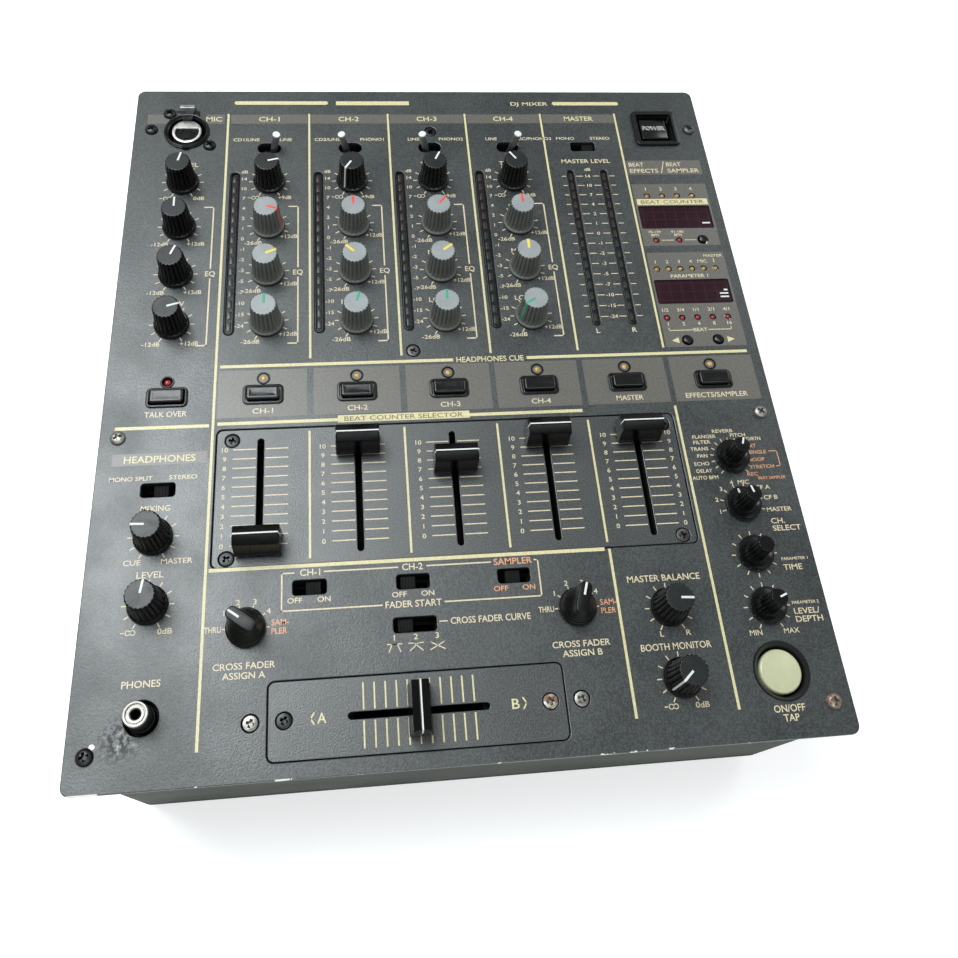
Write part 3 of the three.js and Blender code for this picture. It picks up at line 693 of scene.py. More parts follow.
def print_gold_lines():
    """The lines that part the strips and fields."""
    gold.bar(49.4, 50.6, 12.5, 342.8)
    for x in STRIP_EDGES:
        gold.bar(x - 0.55, x + 0.55, 185.7, 342.8)
    gold.bar(225.4, 226.6, 12.5, 84.0)
    gold.bar(269.4, 270.6, 13.0, 153.2)
    for left, right, y in ((52.0, 163.5, 182.4), (200.0, 313.5, 182.4), (52.0, 107.0, 152.5),
                           (169.0, 223.8, 152.5), (6.5, 48.3, 151.9), (51.3, 223.8, 84.0)):
        gold.bar(left, right, y - 0.8, y + 0.8)
    gold.words("HEADPHONES CUE", 181.8, 182.4, 2.9, 33.4)
    gold.bar(107.0, 169.0, 151.0, 154.7)
    dark.words("BEAT COUNTER SELECTOR", 138.0, 152.85, 2.3, 56.0)


def print_microphone():
    x = STRIPS[0] - 0.4
    for row, name, shift in zip(ROWS, ("LEVEL", "HI", "MID", "LOW"), (2.0, -0.6, -0.6, 0.2)):
        cream.ticks(x, row, FULL_SWEEP)
        cream.words(name, x + shift, row + 11.9, 2.6)
    cream.infinity(x - 7.4, ROWS[0] - 10.7)
    cream.words("0dB", x + 8.8, ROWS[0] - 10.8, 2.2)
    for row in ROWS[1:]:
        cream.words("-12dB", x - 9.2, row - 10.8, 2.2, 8.4)
        cream.words("+12dB", x + 8.8, row - 10.8, 2.2, 8.6)
    print_bracket(x + 16.8)


def print_bracket(x):
    """The line that gathers the three tone knobs of a strip."""
    high, low, middle = 277.7, 194.4, ROWS[2]
    cream.path([(x - 4.6, high), (x, high), (x, middle + 3.4)], 0.7)
    cream.path([(x - 4.6, low), (x, low), (x, middle - 3.2)], 0.7)
    cream.words("EQ", x, middle, 2.9, 5.0)


def print_channel(channel):
    x = STRIPS[channel] + 0.8
    cream.ticks(x, ROWS[0], FULL_SWEEP)
    cream.words("TRIM", x - 2.0, ROWS[0] + 11.6, 2.6, 8.6)
    cream.infinity(x - 7.2, ROWS[0] - 10.8)
    cream.words("+9dB", x + 8.2, ROWS[0] - 10.8, 2.2, 6.8)
    tone_angles = [240, 210, 180, 150, 120, 90, 62, 34, 6, -22]
    for row, name in zip(ROWS[1:], ("HI", "MID", "LOW")):
        cream.ticks(x, row, tone_angles)
        cream.words(name, x - 2.2, row + 10.9, 2.6)
        cream.words("-26dB", x - 7.6, row - 10.8, 2.2, 9.0)
        cream.words("+12dB", x + 10.5, row - 6.9, 2.2, 8.8)
    print_bracket(x + 15.2)
    label_x = METERS[channel - 1][0] + 5.0
    cream.words("dB", label_x, 301.2, 2.0)
    for value, y in zip(METER_SCALE, METER_ROWS):
        cream.words(str(value), label_x, y, 2.0)


def print_toggle_labels():
    labels = (("CD1/LINE", "LINE"), ("CD2/LINE", "PHONO1"), ("LINE", "PHONO2"), ("LINE", "MIC/PHONO3"))
    for (x, _), (left, right) in zip(TOGGLE_PLACES, labels):
        cream.words(left, x - 5.4, 323.9, 2.0, align=1.0)
        cream.words(right, x + 5.6, 323.9, 2.0, align=0.0)


def print_master():
    x = STRIPS[5]
    cream.words("MASTER LEVEL", x, 307.2, 2.7, 28.0)
    cream.words("dB", x, 301.2, 2.0)
    for value, y in zip(METER_SCALE, METER_ROWS):
        cream.words(str(value), x - 0.4, y, 2.0)
        for left, right in ((233.2, 235.7), (241.3, 245.2), (250.8, 254.5), (260.2, 263.2)):
            cream.bar(left, right, y - 0.22, y + 0.22)
    cream.words("L", METERS[4][0], 196.6, 2.6)
    cream.words("R", METERS[5][0], 196.6, 2.6)
    cream.words("MONO", x - 9.6, 324.0, 2.0)
    cream.words("STEREO", x + 10.6, 324.0, 2.0)


def print_cue_row():
    edges = ((51.5, 92.8), (95.9, 136.8), (139.9, 180.7), (183.4, 224.4), (227.4, 268.7), (271.5, 314.8))
    names = [f"CH-{channel}" for channel in CHANNELS] + ["MASTER", "EFFECTS/SAMPLER"]
    for (left, right), name, x in zip(edges, names, STRIPS[1:]):
        grey.bar(left, right, 155.4, 180.2)
        cream.words(name, x, 158.5, 2.6, len(name) * 2.02 + 1.4)
    cream.words("TALK OVER", STRIPS[0], 158.5, 2.7, 19.0)


def print_faders():
    cream.level = gold.level = PLATE_TOP
    for name in FADERS:
        x = spot(name)[0]
        digits = [x - 16.0, x + 15.6] if name == "master_fader" else [x - 16.0]
        for step in range(11):
            y = 94.4 + SCALE_PITCH * step
            for side in (-1, 1):
                near, far = sorted((x + side * 2.1, x + side * 12.4))
                cream.bar(near, far, y - 0.25, y + 0.25)
            for digit_x in digits:
                cream.words(str(step), digit_x, y, 2.1)
    for x in (93.9, 137.8, 181.7, 225.7):
        gold.bar(x - 0.5, x + 0.5, 87.2, 147.6)
    print_crossfader()
    cream.level = gold.level = TOP


def print_crossfader():
    cross_x, cross_y = spot("crossfader")
    for step in range(-5, 6):
        for side in (-1, 1):
            near, far = sorted((cross_y + side * 2.1, cross_y + side * 12.5))
            line_x = cross_x + SCALE_PITCH * step
            gold.bar(line_x - 0.32, line_x + 0.32, near, far)
    gold.path([(95.2, 23.9), (93.9, 21.8), (95.2, 19.7)], 0.6)
    gold.words("A", 98.3, 21.8, 3.9, 3.6)
    gold.words("B", 176.8, 21.8, 3.9, 3.2)
    gold.path([(180.0, 23.9), (181.3, 21.8), (180.0, 19.7)], 0.6)


def print_fader_start():
    line_y, foot_y = 81.0, 65.0
    cream.path([(87.0, line_y), (82.0, line_y), (82.0, foot_y), (124.0, foot_y)], 0.6)
    cream.path([(151.0, foot_y), (193.0, foot_y), (193.0, line_y), (191.6, line_y)], 0.6)
    cream.path([(100.0, line_y), (131.4, line_y)], 0.6)
    cream.path([(144.2, line_y), (172.0, line_y)], 0.6)
    cream.words("CH-1", 93.9, line_y, 2.8, 8.6)
    cream.words("CH-2", 137.8, line_y, 2.8, 9.0)
    orange.words("SAMPLER", 182.0, line_y, 2.8, 17.0)
    for x, ink in ((93.7, cream), (137.8, cream), (181.8, orange)):
        ink.words("OFF", x - 6.2, 69.2, 2.2)
        ink.words("ON", x + 6.0, 69.2, 2.2)
    cream.words("FADER START", 137.5, foot_y, 2.8, 24.0)


def print_crossfader_curve():
    x, y = SLIDES["crossfader_curve_switch"][:2]
    cream.bar(147.9, 151.5, y + 0.3, y + 0.8)
    cream.words("CROSS FADER CURVE", 169.9, y + 0.5, 2.7, 34.4)
    for step in (-1, 0, 1):
        middle = x + 9.0 * step
        cream.words(str(step + 2), middle, 51.2, 2.3)
        bend, foot = ((1.1, 2.4), (-0.9, 2.7), (-2.9, 3.0))[step + 1]
        for side in (-1, 1):
            cream.path([(middle - 3.0 * side, 48.6), (middle + bend * side, 48.5),
                        (middle + foot * side, 45.5)], 0.42)


def print_assign(name, letter):
    x, y = spot(name)
    cream.ticks(x, y, (180, 144, 108, 72, 36, 0), inner=8.3, outer=9.7)
    for number, angle in zip((1, 2, 3, 4), (144, 108, 72, 36)):
        cream.words(str(number), *polar(11.3, angle, x, y), 2.2)
    cream.words("THRU", x - 10.1, y, 2.4, align=1.0, width=6.8)
    orange.words("SAM-", x + 10.4, y + 1.7, 2.4, align=0.0, width=7.2)
    orange.words("PLER", x + 10.4, y - 1.9, 2.4, align=0.0, width=6.5)
    cream.words("CROSS FADER", x - 0.3, 43.9, 2.6, 25.0)
    cream.words(f"ASSIGN {letter}", x - 0.3, 40.1, 2.6, 17.2)


def print_headphones():
    grey.bar(6.6, 48.0, 133.6, 139.3)
    gold.words("HEADPHONES", 27.4, 136.45, 3.2, 31.2)
    cream.words("MONO SPLIT", 15.6, 127.3, 2.0, 18.6)
    cream.words("STEREO", 38.2, 127.3, 2.0, 12.2)
    x, mixing_y = spot("headphones_mixing_knob")
    level_y = spot("headphones_level_knob")[1]
    cream.ticks(x, mixing_y, FULL_SWEEP)
    cream.ticks(x, level_y, FULL_SWEEP)
    cream.words("MIXING", x, mixing_y + 12.9, 2.6, 12.6)
    cream.words("CUE", x - 8.0, mixing_y - 11.0, 2.3)
    cream.words("MASTER", x + 10.6, mixing_y - 11.0, 2.3, 13.0)
    cream.words("LEVEL", x, level_y + 12.8, 2.7, 11.2)
    cream.infinity(x - 6.2, level_y - 11.0)
    cream.words("0dB", x + 7.6, level_y - 11.0, 2.3)
    cream.words("PHONES", 27.0, 39.5, 2.7, 15.2)


def print_booth():
    for node, name, width, low, high in (
            ("master_balance_knob", "MASTER BALANCE", 33.0, "L", "R"),
            ("booth_level_knob", "BOOTH MONITOR", 31.0, None, "0dB")):
        x, y = spot(node)
        cream.ticks(x, y, FULL_SWEEP)
        cream.words(name, x, y + 13.1, 2.8, width)
        if low:
            cream.words(low, x - 5.2, y - 11.0, 2.3)
        else:
            cream.infinity(x - 5.8, y - 11.0)
        cream.words(high, x + 6.6, y - 11.0, 2.3)


# Round the effect selector: text, place from the knob's middle, how it's aligned there and its width.
EFFECT_WORDS = (
    ("AUTO BPM", -8.6, -9.6, 1.0, 12.6), ("DELAY", -10.8, -6.2, 1.0, 7.7), ("ECHO", -11.5, -2.6, 1.0, 7.3),
    ("PAN", -11.6, 1.4, 1.0, 5.0), ("TRANS", -10.4, 5.0, 1.0, 8.8), ("FILTER", -8.6, 8.4, 1.0, 8.5),
    ("FLANGER", -5.4, 11.2, 1.0, 11.6), ("REVERB", -1.6, 13.8, 0.5, 10.2), ("PITCH", 5.6, 11.4, 0.5, 7.6),
    ("SND/RTN", 6.6, 9.2, 0.0, 10.0))
SAMPLER_WORDS = (
    ("EXT", 9.0, 5.5, 4.4), ("SINGLE", 9.2, 2.2, 8.4), ("LOOP", 8.8, -1.6, 7.2), ("STRETCH", 7.9, -5.3, 11.9),
    ("REC", 5.8, -8.8, 5.2))


def print_effect_selector():
    x, y = spot("effect_selector_knob")
    cream.ticks(x, y, range(230, -51, -20), inner=8.5, outer=10.3, width=0.45)
    for text, shift, up, align, width in EFFECT_WORDS:
        cream.words(text, x + shift, y + up, 1.75, width, align)
    for text, shift, up, width in SAMPLER_WORDS:
        orange.words(text, x + shift, y + up, 1.75, width, 0.0)
    orange.path([(x + 19.2, y + 2.4), (x + 23.0, y + 2.4), (x + 23.0, y - 5.3), (x + 21.2, y - 5.3)], 0.42)
    orange.words("BEAT SAMPLER", x + 17.4, y - 11.0, 1.4, 13.4)


def print_effect_channel():
    x, y = spot("effect_channel_knob")
    sources = ("1", "2", "3", "4", "MIC", "CF A", "CF B", "MASTER")
    angles = [195 - 30 * step for step in range(len(sources))]
    cream.ticks(x, y, angles, inner=8.7, outer=10.5)
    cream.around(x, y, 11.4, zip(angles, sources), 2.0)
    cream.words("CH.", x + 11.6, 92.9, 2.5, align=0.0)
    cream.words("SELECT", x + 11.6, 89.4, 2.5, align=0.0)


def print_effect_parameters():
    x, y = spot("effect_time_knob")
    cream.ticks(x, y, range(0, 360, 30), inner=8.7, outer=10.6)
    cream.words("PARAMETER 1", x + 12.0, 75.0, 1.3, 12.4, align=0.0)
    cream.words("TIME", x + 12.0, 71.2, 2.5, align=0.0)
    x, y = spot("effect_depth_knob")
    cream.ticks(x, y, FULL_SWEEP, inner=8.7, outer=10.6)
    cream.words("PARAMETER 2", x + 11.8, 55.3, 1.3, 12.4, align=0.0)
    cream.words("LEVEL/", x + 11.8, 51.6, 2.5, align=0.0)
    cream.words("DEPTH", x + 11.8, 48.1, 2.5, align=0.0)
    cream.words("MIN", x - 7.6, y - 10.9, 2.2, 5.6)
    cream.words("MAX", x + 8.6, y - 10.9, 2.2, 7.0)
    cream.words("ON/OFF", x - 0.6, 12.1, 2.8, 13.6)
    cream.words("TAP", x - 0.6, 8.4, 2.8, 6.8)


def grey_panel(edges, display, lamps, buttons):
    """A grey field with openings for its display, lamps and buttons."""
    left, right, front, rear = edges
    x, y, width, depth = display
    holes = [rounded(width, depth, 1.2, x, y)]
    holes += [circle(1.8, x, y, 16) for x, y in lamps]
    holes += [circle(3.05, x, y, 24) for x, y in buttons]
    grey.sheet([(left, front), (right, front), (right, rear), (left, rear)], holes)


def print_display_header():
    grey.bar(271.5, 314.8, 297.1, 307.3)
    cream.words("BEAT", 272.8, 304.4, 2.7, align=0.0, width=8.6)
    cream.words("EFFECTS", 272.8, 299.9, 2.7, align=0.0, width=16.4)
    cream.line((290.8, 298.0), (293.4, 306.6), 0.5)
    cream.words("BEAT", 294.6, 304.4, 2.7, align=0.0, width=8.6)
    cream.words("SAMPLER", 294.6, 299.9, 2.7, align=0.0, width=18.4)


def print_grey_fields():
    grey_panel((271.8, 314.5, 248.2, 290.3), DISPLAYS[0], COUNTER_LAMPS + BAND_LAMPS, TACT_BUTTONS[:1])
    grey_panel((272.0, 314.5, 185.8, 243.7), DISPLAYS[1], SOURCE_LAMPS + BEAT_LAMPS, TACT_BUTTONS[1:])


def print_beat_counter():
    for number, (x, y) in enumerate(COUNTER_LAMPS, 1):
        cream.words(str(number), x, y + 4.8, 2.1)
    gold.bar(273.0, 313.3, 275.7, 279.8)
    dark.words("BEAT COUNTER", 293.1, 277.75, 2.3, 36.0)
    for (x, y), band in zip(BAND_LAMPS, ("70-139", "91-180")):
        cream.words(band, x, y + 5.6, 1.5)
        cream.words("BPM", x, y + 3.5, 1.5)
    cream.bar(282.0, 289.0, 251.6, 252.0)
    cream.bar(294.9, 301.4, 251.6, 252.0)


def print_beat_select():
    cream.words("MASTER", 308.3, 241.3, 1.6, 10.4)
    for name, (x, y) in zip(("1", "2", "3", "4", "MIC"), SOURCE_LAMPS):
        cream.words(name, x, y + 4.6, 1.9)
    cream.bar(307.9, 308.4, 237.0, 239.4)
    cream.words("PARAMETER 1", 292.8, 228.6, 2.0, 20.4)
    for (x, y), ratio, beats in zip(BEAT_LAMPS, ("1/2", "3/4", "1/1", "2/1", "4/1"), (1, 2, 4, 8, 16)):
        cream.words(ratio, x, y + 4.7, 1.9)
        cream.words(str(beats), x, y - 3.7, 1.9)
    cream.path([(275.4, 196.9), (275.4, 195.5), (287.6, 195.5)], 0.45)
    cream.path([(308.4, 196.9), (308.4, 195.5), (296.2, 195.5)], 0.45)
    cream.words("BEAT", 291.9, 195.6, 2.0, 7.4)
    gold.area([(275.6, 189.6), (279.4, 187.9), (279.4, 191.3)])
    gold.area([(308.8, 189.6), (305.0, 191.3), (305.0, 187.9)])


def print_panel():
    print_header()
    print_gold_lines()
    print_microphone()
    for channel in CHANNELS:
        print_channel(channel)
    print_toggle_labels()
    print_master()
    print_cue_row()
    print_faders()
    print_fader_start()
    print_crossfader_curve()
    print_assign("crossfader_assign_a_knob", "A")
    print_assign("crossfader_assign_b_knob", "B")
    print_headphones()
    print_booth()
    print_effect_selector()
    print_effect_channel()
    print_effect_parameters()
    print_display_header()
    print_grey_fields()
    print_beat_counter()
    print_beat_select()
    for ink, name, paint, slot in (
            (gold, "print_gold", "gold_ink", "print_gold"),
            (cream, "print_cream", "cream_ink", "print_white"),
            (orange, "print_orange", "orange_ink", "print_orange"),
            (grey, "print_bands", "grey_ink", "print_grey"),
            (dark, "print_on_gold", "dark_ink", "print_grey")):
        ink.finish(name, paint, slot, angle=SHEET_ANGLE)


# ---------- Top panel and plates ----------

def panel_holes():
    knobs = [name for name in frame["nodes"] if name.endswith("_knob")]
    holes = [circle(4.2, *spot(name), 24) for name in knobs]
    holes += [obround(12.6, 7.0, x, y) for x, y in TOGGLE_PLACES]
    holes += [rounded(17.0, 8.2, 1.4, x, CUE_Y) for x in STRIPS]
    holes += [obround(width + 0.1, METER_LENGTH + 0.1, x, METER_MIDDLE) for x, width in METERS]
    holes += [rounded(width, depth, 1.2, x, y) for x, y, width, depth in DISPLAYS]
    holes += [rounded(width, SLIDE_WINDOW_DEPTH, 1.4, x, y) for x, y, width in SLIDES.values()]
    holes += [rounded(width + 2 * PLATE_GAP, depth + 2 * PLATE_GAP, PLATE_CORNER + PLATE_GAP, x, y)
              for x, y, width, depth in (FADER_PLATE, CROSS_PLATE)]
    holes += [circle(2.9, x, y, 24) for x, y in AMBER_LAMPS + RED_LAMPS]
    holes += [circle(1.75, x, y, 16) for x, y in COUNTER_LAMPS + BAND_LAMPS + SOURCE_LAMPS + BEAT_LAMPS]
    holes += [circle(3.0, x, y, 24) for x, y in TACT_BUTTONS]
    holes += [circle(3.5, x, y, 24) for x, y, paint in SUNK_SCREWS]
    holes.append(rounded(20.6, 20.4, 1.0, *spot("power_button")))
    holes.append(circle(12.3, *spot("effect_on_button"), 48))
    holes.append(circle(11.5, *MICROPHONE, 48))
    holes.append(circle(6.8, *PHONES, 32))
    return holes


def build_panel():
    outline = rounded(PANEL_WIDTH, PANEL_DEPTH, 4.0, PANEL_WIDTH / 2, PANEL_DEPTH / 2)
    form = Form().plate(outline, panel_holes(), UNDERSIDE, TOP, edge=0.35)
    form.finish("top_panel_sheet", "panel", "panel_paint", hides="top_panel", angle=SHEET_ANGLE)


def build_plate(name, place, slots, screws):
    """A thin plate in its opening, with slots and countersunk screws."""
    x, y, width, depth = place
    holes = slots + [circle(3.45, screw_x, screw_y, 24) for screw_x, screw_y, paint in screws]
    form = Form().plate(rounded(width, depth, PLATE_CORNER, x, y), holes, UNDERSIDE, PLATE_TOP, edge=0.25)
    form.finish(name, "plate", "plate_paint", angle=SHEET_ANGLE)


def build_plates():
    slots = [obround(SLOT_WIDTH, SLOT_LENGTH, spot(name)[0], FADER_MIDDLE) for name in FADERS]
    build_plate("fader_plate", FADER_PLATE, slots, FADER_PLATE_SCREWS)
    slots = [obround(FADER_TRAVEL + 12.5, SLOT_WIDTH, *spot("crossfader"))]
    build_plate("crossfader_plate", CROSS_PLATE, slots, CROSS_PLATE_SCREWS)


def build_backing():
    """Black ledges under the panel that close the gaps round both plates."""
    form = Form()
    for x, y, width, depth in (FADER_PLATE, CROSS_PLATE):
        form.bezel((width + 8, depth + 8), (width - 5, depth - 5), 3.0,
                   UNDERSIDE - 1.2, UNDERSIDE - 0.1, x, y)
    form.finish("plate_ledges", "shade", "socket_black")


# ---------- Screws ----------

def screw_head(radius, domed):
    """The head and the height of its top: a dome seated at 0, or a flat top at 0."""
    if domed:
        return Form().turned([(0.55 * radius, -2.0), (radius, 0.0), (radius, 0.5), (0.93 * radius, 1.1),
                              (0.7 * radius, 1.65), (0.4 * radius, 1.9), (0.12 * radius, 1.96)], 32), 1.96
    return Form().turned([(0.5 * radius, -2.4), (0.93 * radius, -0.35), (radius, -0.2), (radius, -0.06),
                          (0.95 * radius, 0.0)], 32), 0.0


def loose_object(form):
    """The form as an object still in millimetres, for cutting."""
    bmesh.ops.recalc_face_normals(form.bm, faces=form.bm.faces)
    mesh = bpy.data.meshes.new("screw")
    form.bm.to_mesh(mesh)
    form.bm.free()
    piece = bpy.data.objects.new("screw", mesh)
    bpy.context.scene.collection.objects.link(piece)
    return piece


def screw_mesh(radius, domed):
    """A screw's head with a cross cut into it."""
    head, top = screw_head(radius, domed)
    cross = Form()
    for turn in (0, 90):
        cross.at(turn=turn)
        cross.stack([(rounded(radius * 0.55, 0.85, 0.1), top - 1.9),
                     (rounded(radius * 1.3, 1.3, 0.1), top + 0.4)])
    pieces = [loose_object(head), loose_object(cross)]
    cut = pieces[0].modifiers.new("cross", "BOOLEAN")
    cut.operation = "DIFFERENCE"
    cut.solver = "EXACT"
    cut.use_self = True
    cut.object = pieces[1]
    bpy.context.view_layer.update()
    evaluated = pieces[0].evaluated_get(bpy.context.evaluated_depsgraph_get())
    result = bpy.data.meshes.new_from_object(evaluated)
    for piece in pieces:
        bpy.data.objects.remove(piece)
    return result


def build_screws():
    domed = screw_mesh(3.4, True)
    flat = screw_mesh(2.95, False)
    forms = {paint: Form() for paint in ("screw", "dusty", "zinc", "rusty")}
    for screws, mesh, height in ((DOMED_SCREWS, domed, TOP), (SUNK_SCREWS, flat, TOP - 0.25),
                                 (FADER_PLATE_SCREWS + CROSS_PLATE_SCREWS, flat, PLATE_TOP - 0.2)):
        for x, y, paint in screws:
            forms[paint].at(x, y, height, random.uniform(0, 90)).add_mesh(mesh)
    for paint, form in forms.items():
        form.finish(f"panel_screws_{paint}", paint, "screw_metal")


# ---------- Meters, lamps, displays ----------

def build_meters():
    """Unlit segments in narrow frames, red over green."""
    frames, red, green = Form(), Form(), Form()
    for x, width in METERS:
        frames.bezel((width, METER_LENGTH), (width - 1.5, METER_LENGTH - 1.5), width / 2 - 0.01,
                     TOP - 1.2, TOP + 0.35, x, METER_MIDDLE)
        floor = obround(width - 0.6, METER_LENGTH - 0.6, x, METER_MIDDLE)
        frames.stack([(floor, TOP - 2.0), (floor, TOP - 0.75)])
        for row, y in enumerate(METER_ROWS):
            lamp = red if row < METER_RED_ROWS else green
            lamp.block(width * 0.4, 4.5, TOP - 0.9, TOP - 0.45, 0.25, 0.15, x, y)
    frames.finish("meter_frames", "bezel", "socket_black")
    red.finish("meter_segments_red", "meter_red", "lens_red")
    green.finish("meter_segments_green", "meter_green", "lens_red")


def dome(form, x, y, radius, low, rise):
    """A domed lens of revolution."""
    profile = [(radius, low), (radius, low + 0.3)]
    for step in range(1, 5):
        angle = math.pi / 2 * step / 5
        profile.append((radius * math.cos(angle), low + 0.3 + rise * math.sin(angle)))
    form.turned(profile, 24, x=x, y=y)


def build_lamps():
    rims, amber, tan, red = Form(), Form(), Form(), Form()
    for x, y in AMBER_LAMPS + RED_LAMPS:
        rims.turned([(2.85, TOP - 1.5), (3.2, TOP - 0.02), (3.2, TOP + 0.25), (2.95, TOP + 0.5),
                     (2.6, TOP + 0.5), (2.25, TOP + 0.1), (2.12, TOP - 0.6), (2.12, TOP - 1.5)],
                    32, loop=True, x=x, y=y)
    for places, form, radius in ((AMBER_LAMPS, amber, 1.8), (RED_LAMPS, red, 1.8), (COUNTER_LAMPS, tan, 1.45),
                                 (SOURCE_LAMPS, tan, 1.45), (BAND_LAMPS, red, 1.45), (BEAT_LAMPS, red, 1.45)):
        for x, y in places:
            dome(form, x, y, radius, TOP - 1.6, 1.9)
    rims.finish("lamp_rims", "bezel", "socket_black")
    amber.finish("amber_lamps", "amber", "lens_amber")
    tan.finish("small_amber_lamps", "tan", "lens_amber")
    red.finish("red_lamps", "lamp_red", "lens_red")


def build_displays():
    """Red windows with small marks printed on their right-hand end."""
    glass = Form()
    marks = Ink(0.04)
    marks.level = TOP - 0.35
    for x, y, width, depth in DISPLAYS:
        glass.block(width - 0.5, depth - 0.5, UNDERSIDE - 2.0, TOP - 0.35, 1.0, 0.3, x, y)
    x, y, width, depth = DISPLAYS[0]
    marks.bar(x + width / 2 - 6.0, x + width / 2 - 1.6, y - 4.4, y - 3.5)
    x, y, width, depth = DISPLAYS[1]
    for row, length in enumerate((2.0, 4.6, 4.6)):
        rear = y + 1.2 - 2.1 * row
        marks.bar(x + width / 2 - 1.6 - length, x + width / 2 - 1.6, rear - 0.9, rear)
    glass.finish("display_windows", "display", "display_red")
    marks.finish("display_marks", "white", "print_white")


def build_tact_buttons():
    form = Form()
    for x, y in TACT_BUTTONS:
        form.turned([(2.35, UNDERSIDE - 2.0), (2.35, TOP + 0.7), (2.2, TOP + 1.0), (1.9, TOP + 1.15),
                     (1.1, TOP + 0.95), (0.3, TOP + 0.9)], 32, x=x, y=y)
    form.finish("round_push_buttons", "button", "button_black")


# ---------- Knobs ----------

def rest_angles():
    """Where each knob's pointer looks at rest, in degrees from the right."""
    low_ends = {"crossfader": 0.0, "effect_selector": -50.0, "effect_channel": -15.0}
    angles = {}
    for joint in frame["joints"]:
        node = joint["child"].removesuffix("_body")
        if node.endswith("_knob"):
            start = next((end for prefix, end in low_ends.items() if node.startswith(prefix)), -60.0)
            angles[node] = start - joint["range_deg"][0] if "range_deg" in joint else 90.0
    return angles


REST_ANGLES = rest_angles()


def fluted_ring(radius, depth, flutes, steps_per_flute=6):
    """A circle with narrow grooves cut into it."""
    points = []
    steps = flutes * steps_per_flute
    for step in range(steps):
        angle = math.tau * step / steps
        groove = max(0.0, math.cos(angle * flutes)) ** 1.5
        reach = radius - depth * groove
        points.append((reach * math.cos(angle), reach * math.sin(angle)))
    return points


def shaft_levels(ring, low):
    """The round shaft from its foot to just over the panel."""
    return [(ring(2.9, 0.0), low), (ring(2.9, 0.0), TOP + 0.45)]


def fluted_knob(form, base, top, low):
    """A tall tapering knob with twenty grooves, a flange at its foot and a flat top."""
    def ring(radius, depth):
        return fluted_ring(radius, depth, 20)
    rise = top - base
    form.stack(shaft_levels(ring, low) + [
        (ring(7.9, 0.0), base),
        (ring(8.3, 0.0), base + 0.3),
        (ring(8.35, 0.0), base + 1.0),
        (ring(8.15, 0.0), base + 1.35),
        (ring(7.62, 0.0), base + 1.6),
        (ring(7.5, 0.78), base + 2.1),
        (ring(7.15, 0.84), base + 0.35 * rise),
        (ring(6.75, 0.8), base + 0.65 * rise),
        (ring(6.38, 0.72), top - 1.1),
        (ring(6.26, 0.62), top - 0.4),
        (ring(6.1, 0.48), top - 0.1),
        (ring(5.9, 0.36), top),
    ])


def skirted_knob(form, base, top, low):
    """A slim grooved stem. The dished skirt round its foot is a piece of its own."""
    def ring(radius, depth):
        return fluted_ring(radius, depth, 12, 8)
    form.stack(shaft_levels(ring, low) + [
        (ring(4.5, 0.0), base + 1.2),
        (ring(4.4, 0.3), base + 2.5),
        (ring(4.1, 0.42), base + 3.6),
        (ring(3.95, 0.42), base + 6.0),
        (ring(3.85, 0.42), top - 1.2),
        (ring(3.75, 0.3), top - 0.4),
        (ring(3.5, 0.1), top - 0.05),
        (ring(3.2, 0.0), top),
    ])


def build_skirt(name, base):
    """The dished skirt round a slim knob's foot."""
    skirt = Form()
    skirt.turned([(3.2, base), (7.8, base), (8.1, base + 0.4), (8.1, base + 2.0), (7.98, base + 2.6),
                  (7.75, base + 2.85), (7.4, base + 2.8), (6.4, base + 2.52), (5.2, base + 2.15),
                  (4.7, base + 2.05), (4.4, base + 2.1), (3.2, base + 2.0)], 56, loop=True,
                 x=spot(name)[0], y=spot(name)[1])
    skirt.finish(name + "_skirt", "button", "knob_black", rides=name)


def bar_outline(width, depth, shift, count):
    """A bar with round ends, from its right-hand end, with as many points as a circle of count steps."""
    points = []
    for step in range(count):
        angle = math.tau * step / count
        across, up = math.cos(angle), math.sin(angle)
        reach = (abs(across / (width / 2)) ** 4 + abs(up / (depth / 2)) ** 4) ** -0.25
        points.append((shift + reach * across, reach * up))
    return points


def bar_knob(form, base, top, low):
    """A round foot that rises into a flat-topped bar."""
    count = 64
    foot = circle(7.45, steps=count)
    bar = bar_outline(13.6, 5.6, 0.4, count)
    levels = [(circle(2.9, steps=count), low), (circle(2.9, steps=count), TOP + 0.45)]
    levels += [(circle(radius, steps=count), base + z)
               for radius, z in ((7.8, 0.0), (8.15, 0.3), (8.15, 1.9), (7.95, 2.3), (7.5, 2.5))]
    for share, z in ((0.0, 2.9), (0.16, 5.0), (0.38, 7.6), (0.63, 10.2), (0.83, 12.4), (0.95, 14.2),
                     (1.0, 14.9)):
        eased = share * share * (3 - 2 * share)
        blend = [((1 - eased) * fx + eased * bx, (1 - eased) * fy + eased * by)
                 for (fx, fy), (bx, by) in zip(foot, bar)]
        levels.append((blend, base + z))
    levels.append((bar_outline(13.1, 5.1, 0.4, count), top - 0.05))
    levels.append((bar_outline(12.7, 4.7, 0.4, count), top))
    form.stack(levels)


# The body stops this far under the CAD knob's top: the turned cap and the pointer rise over it.
KNOB_TOP_SINK = 0.3


def knob_family(name):
    if name.startswith("crossfader_assign"):
        return bar_knob
    return skirted_knob if name.startswith("effect") else fluted_knob


def knob_paint(name):
    """The paint of a knob's body, that of its top, which is lighter than the body as a painted highlight, and
    its slot.
    """
    if not name.startswith("channel"):
        return "black", "slate_painted_highlight", "knob_black"
    if name.split("_")[2] in TONES:
        return "grey", "pale", "knob_grey"
    return "slate", "slate_painted_highlight", "knob_slate"


def pointer_colour(name):
    colours = {"hi": "red", "mid": "yellow", "low": "green"}
    if not name.startswith("channel"):
        return "white"
    return colours.get(name.split("_")[2], "white")


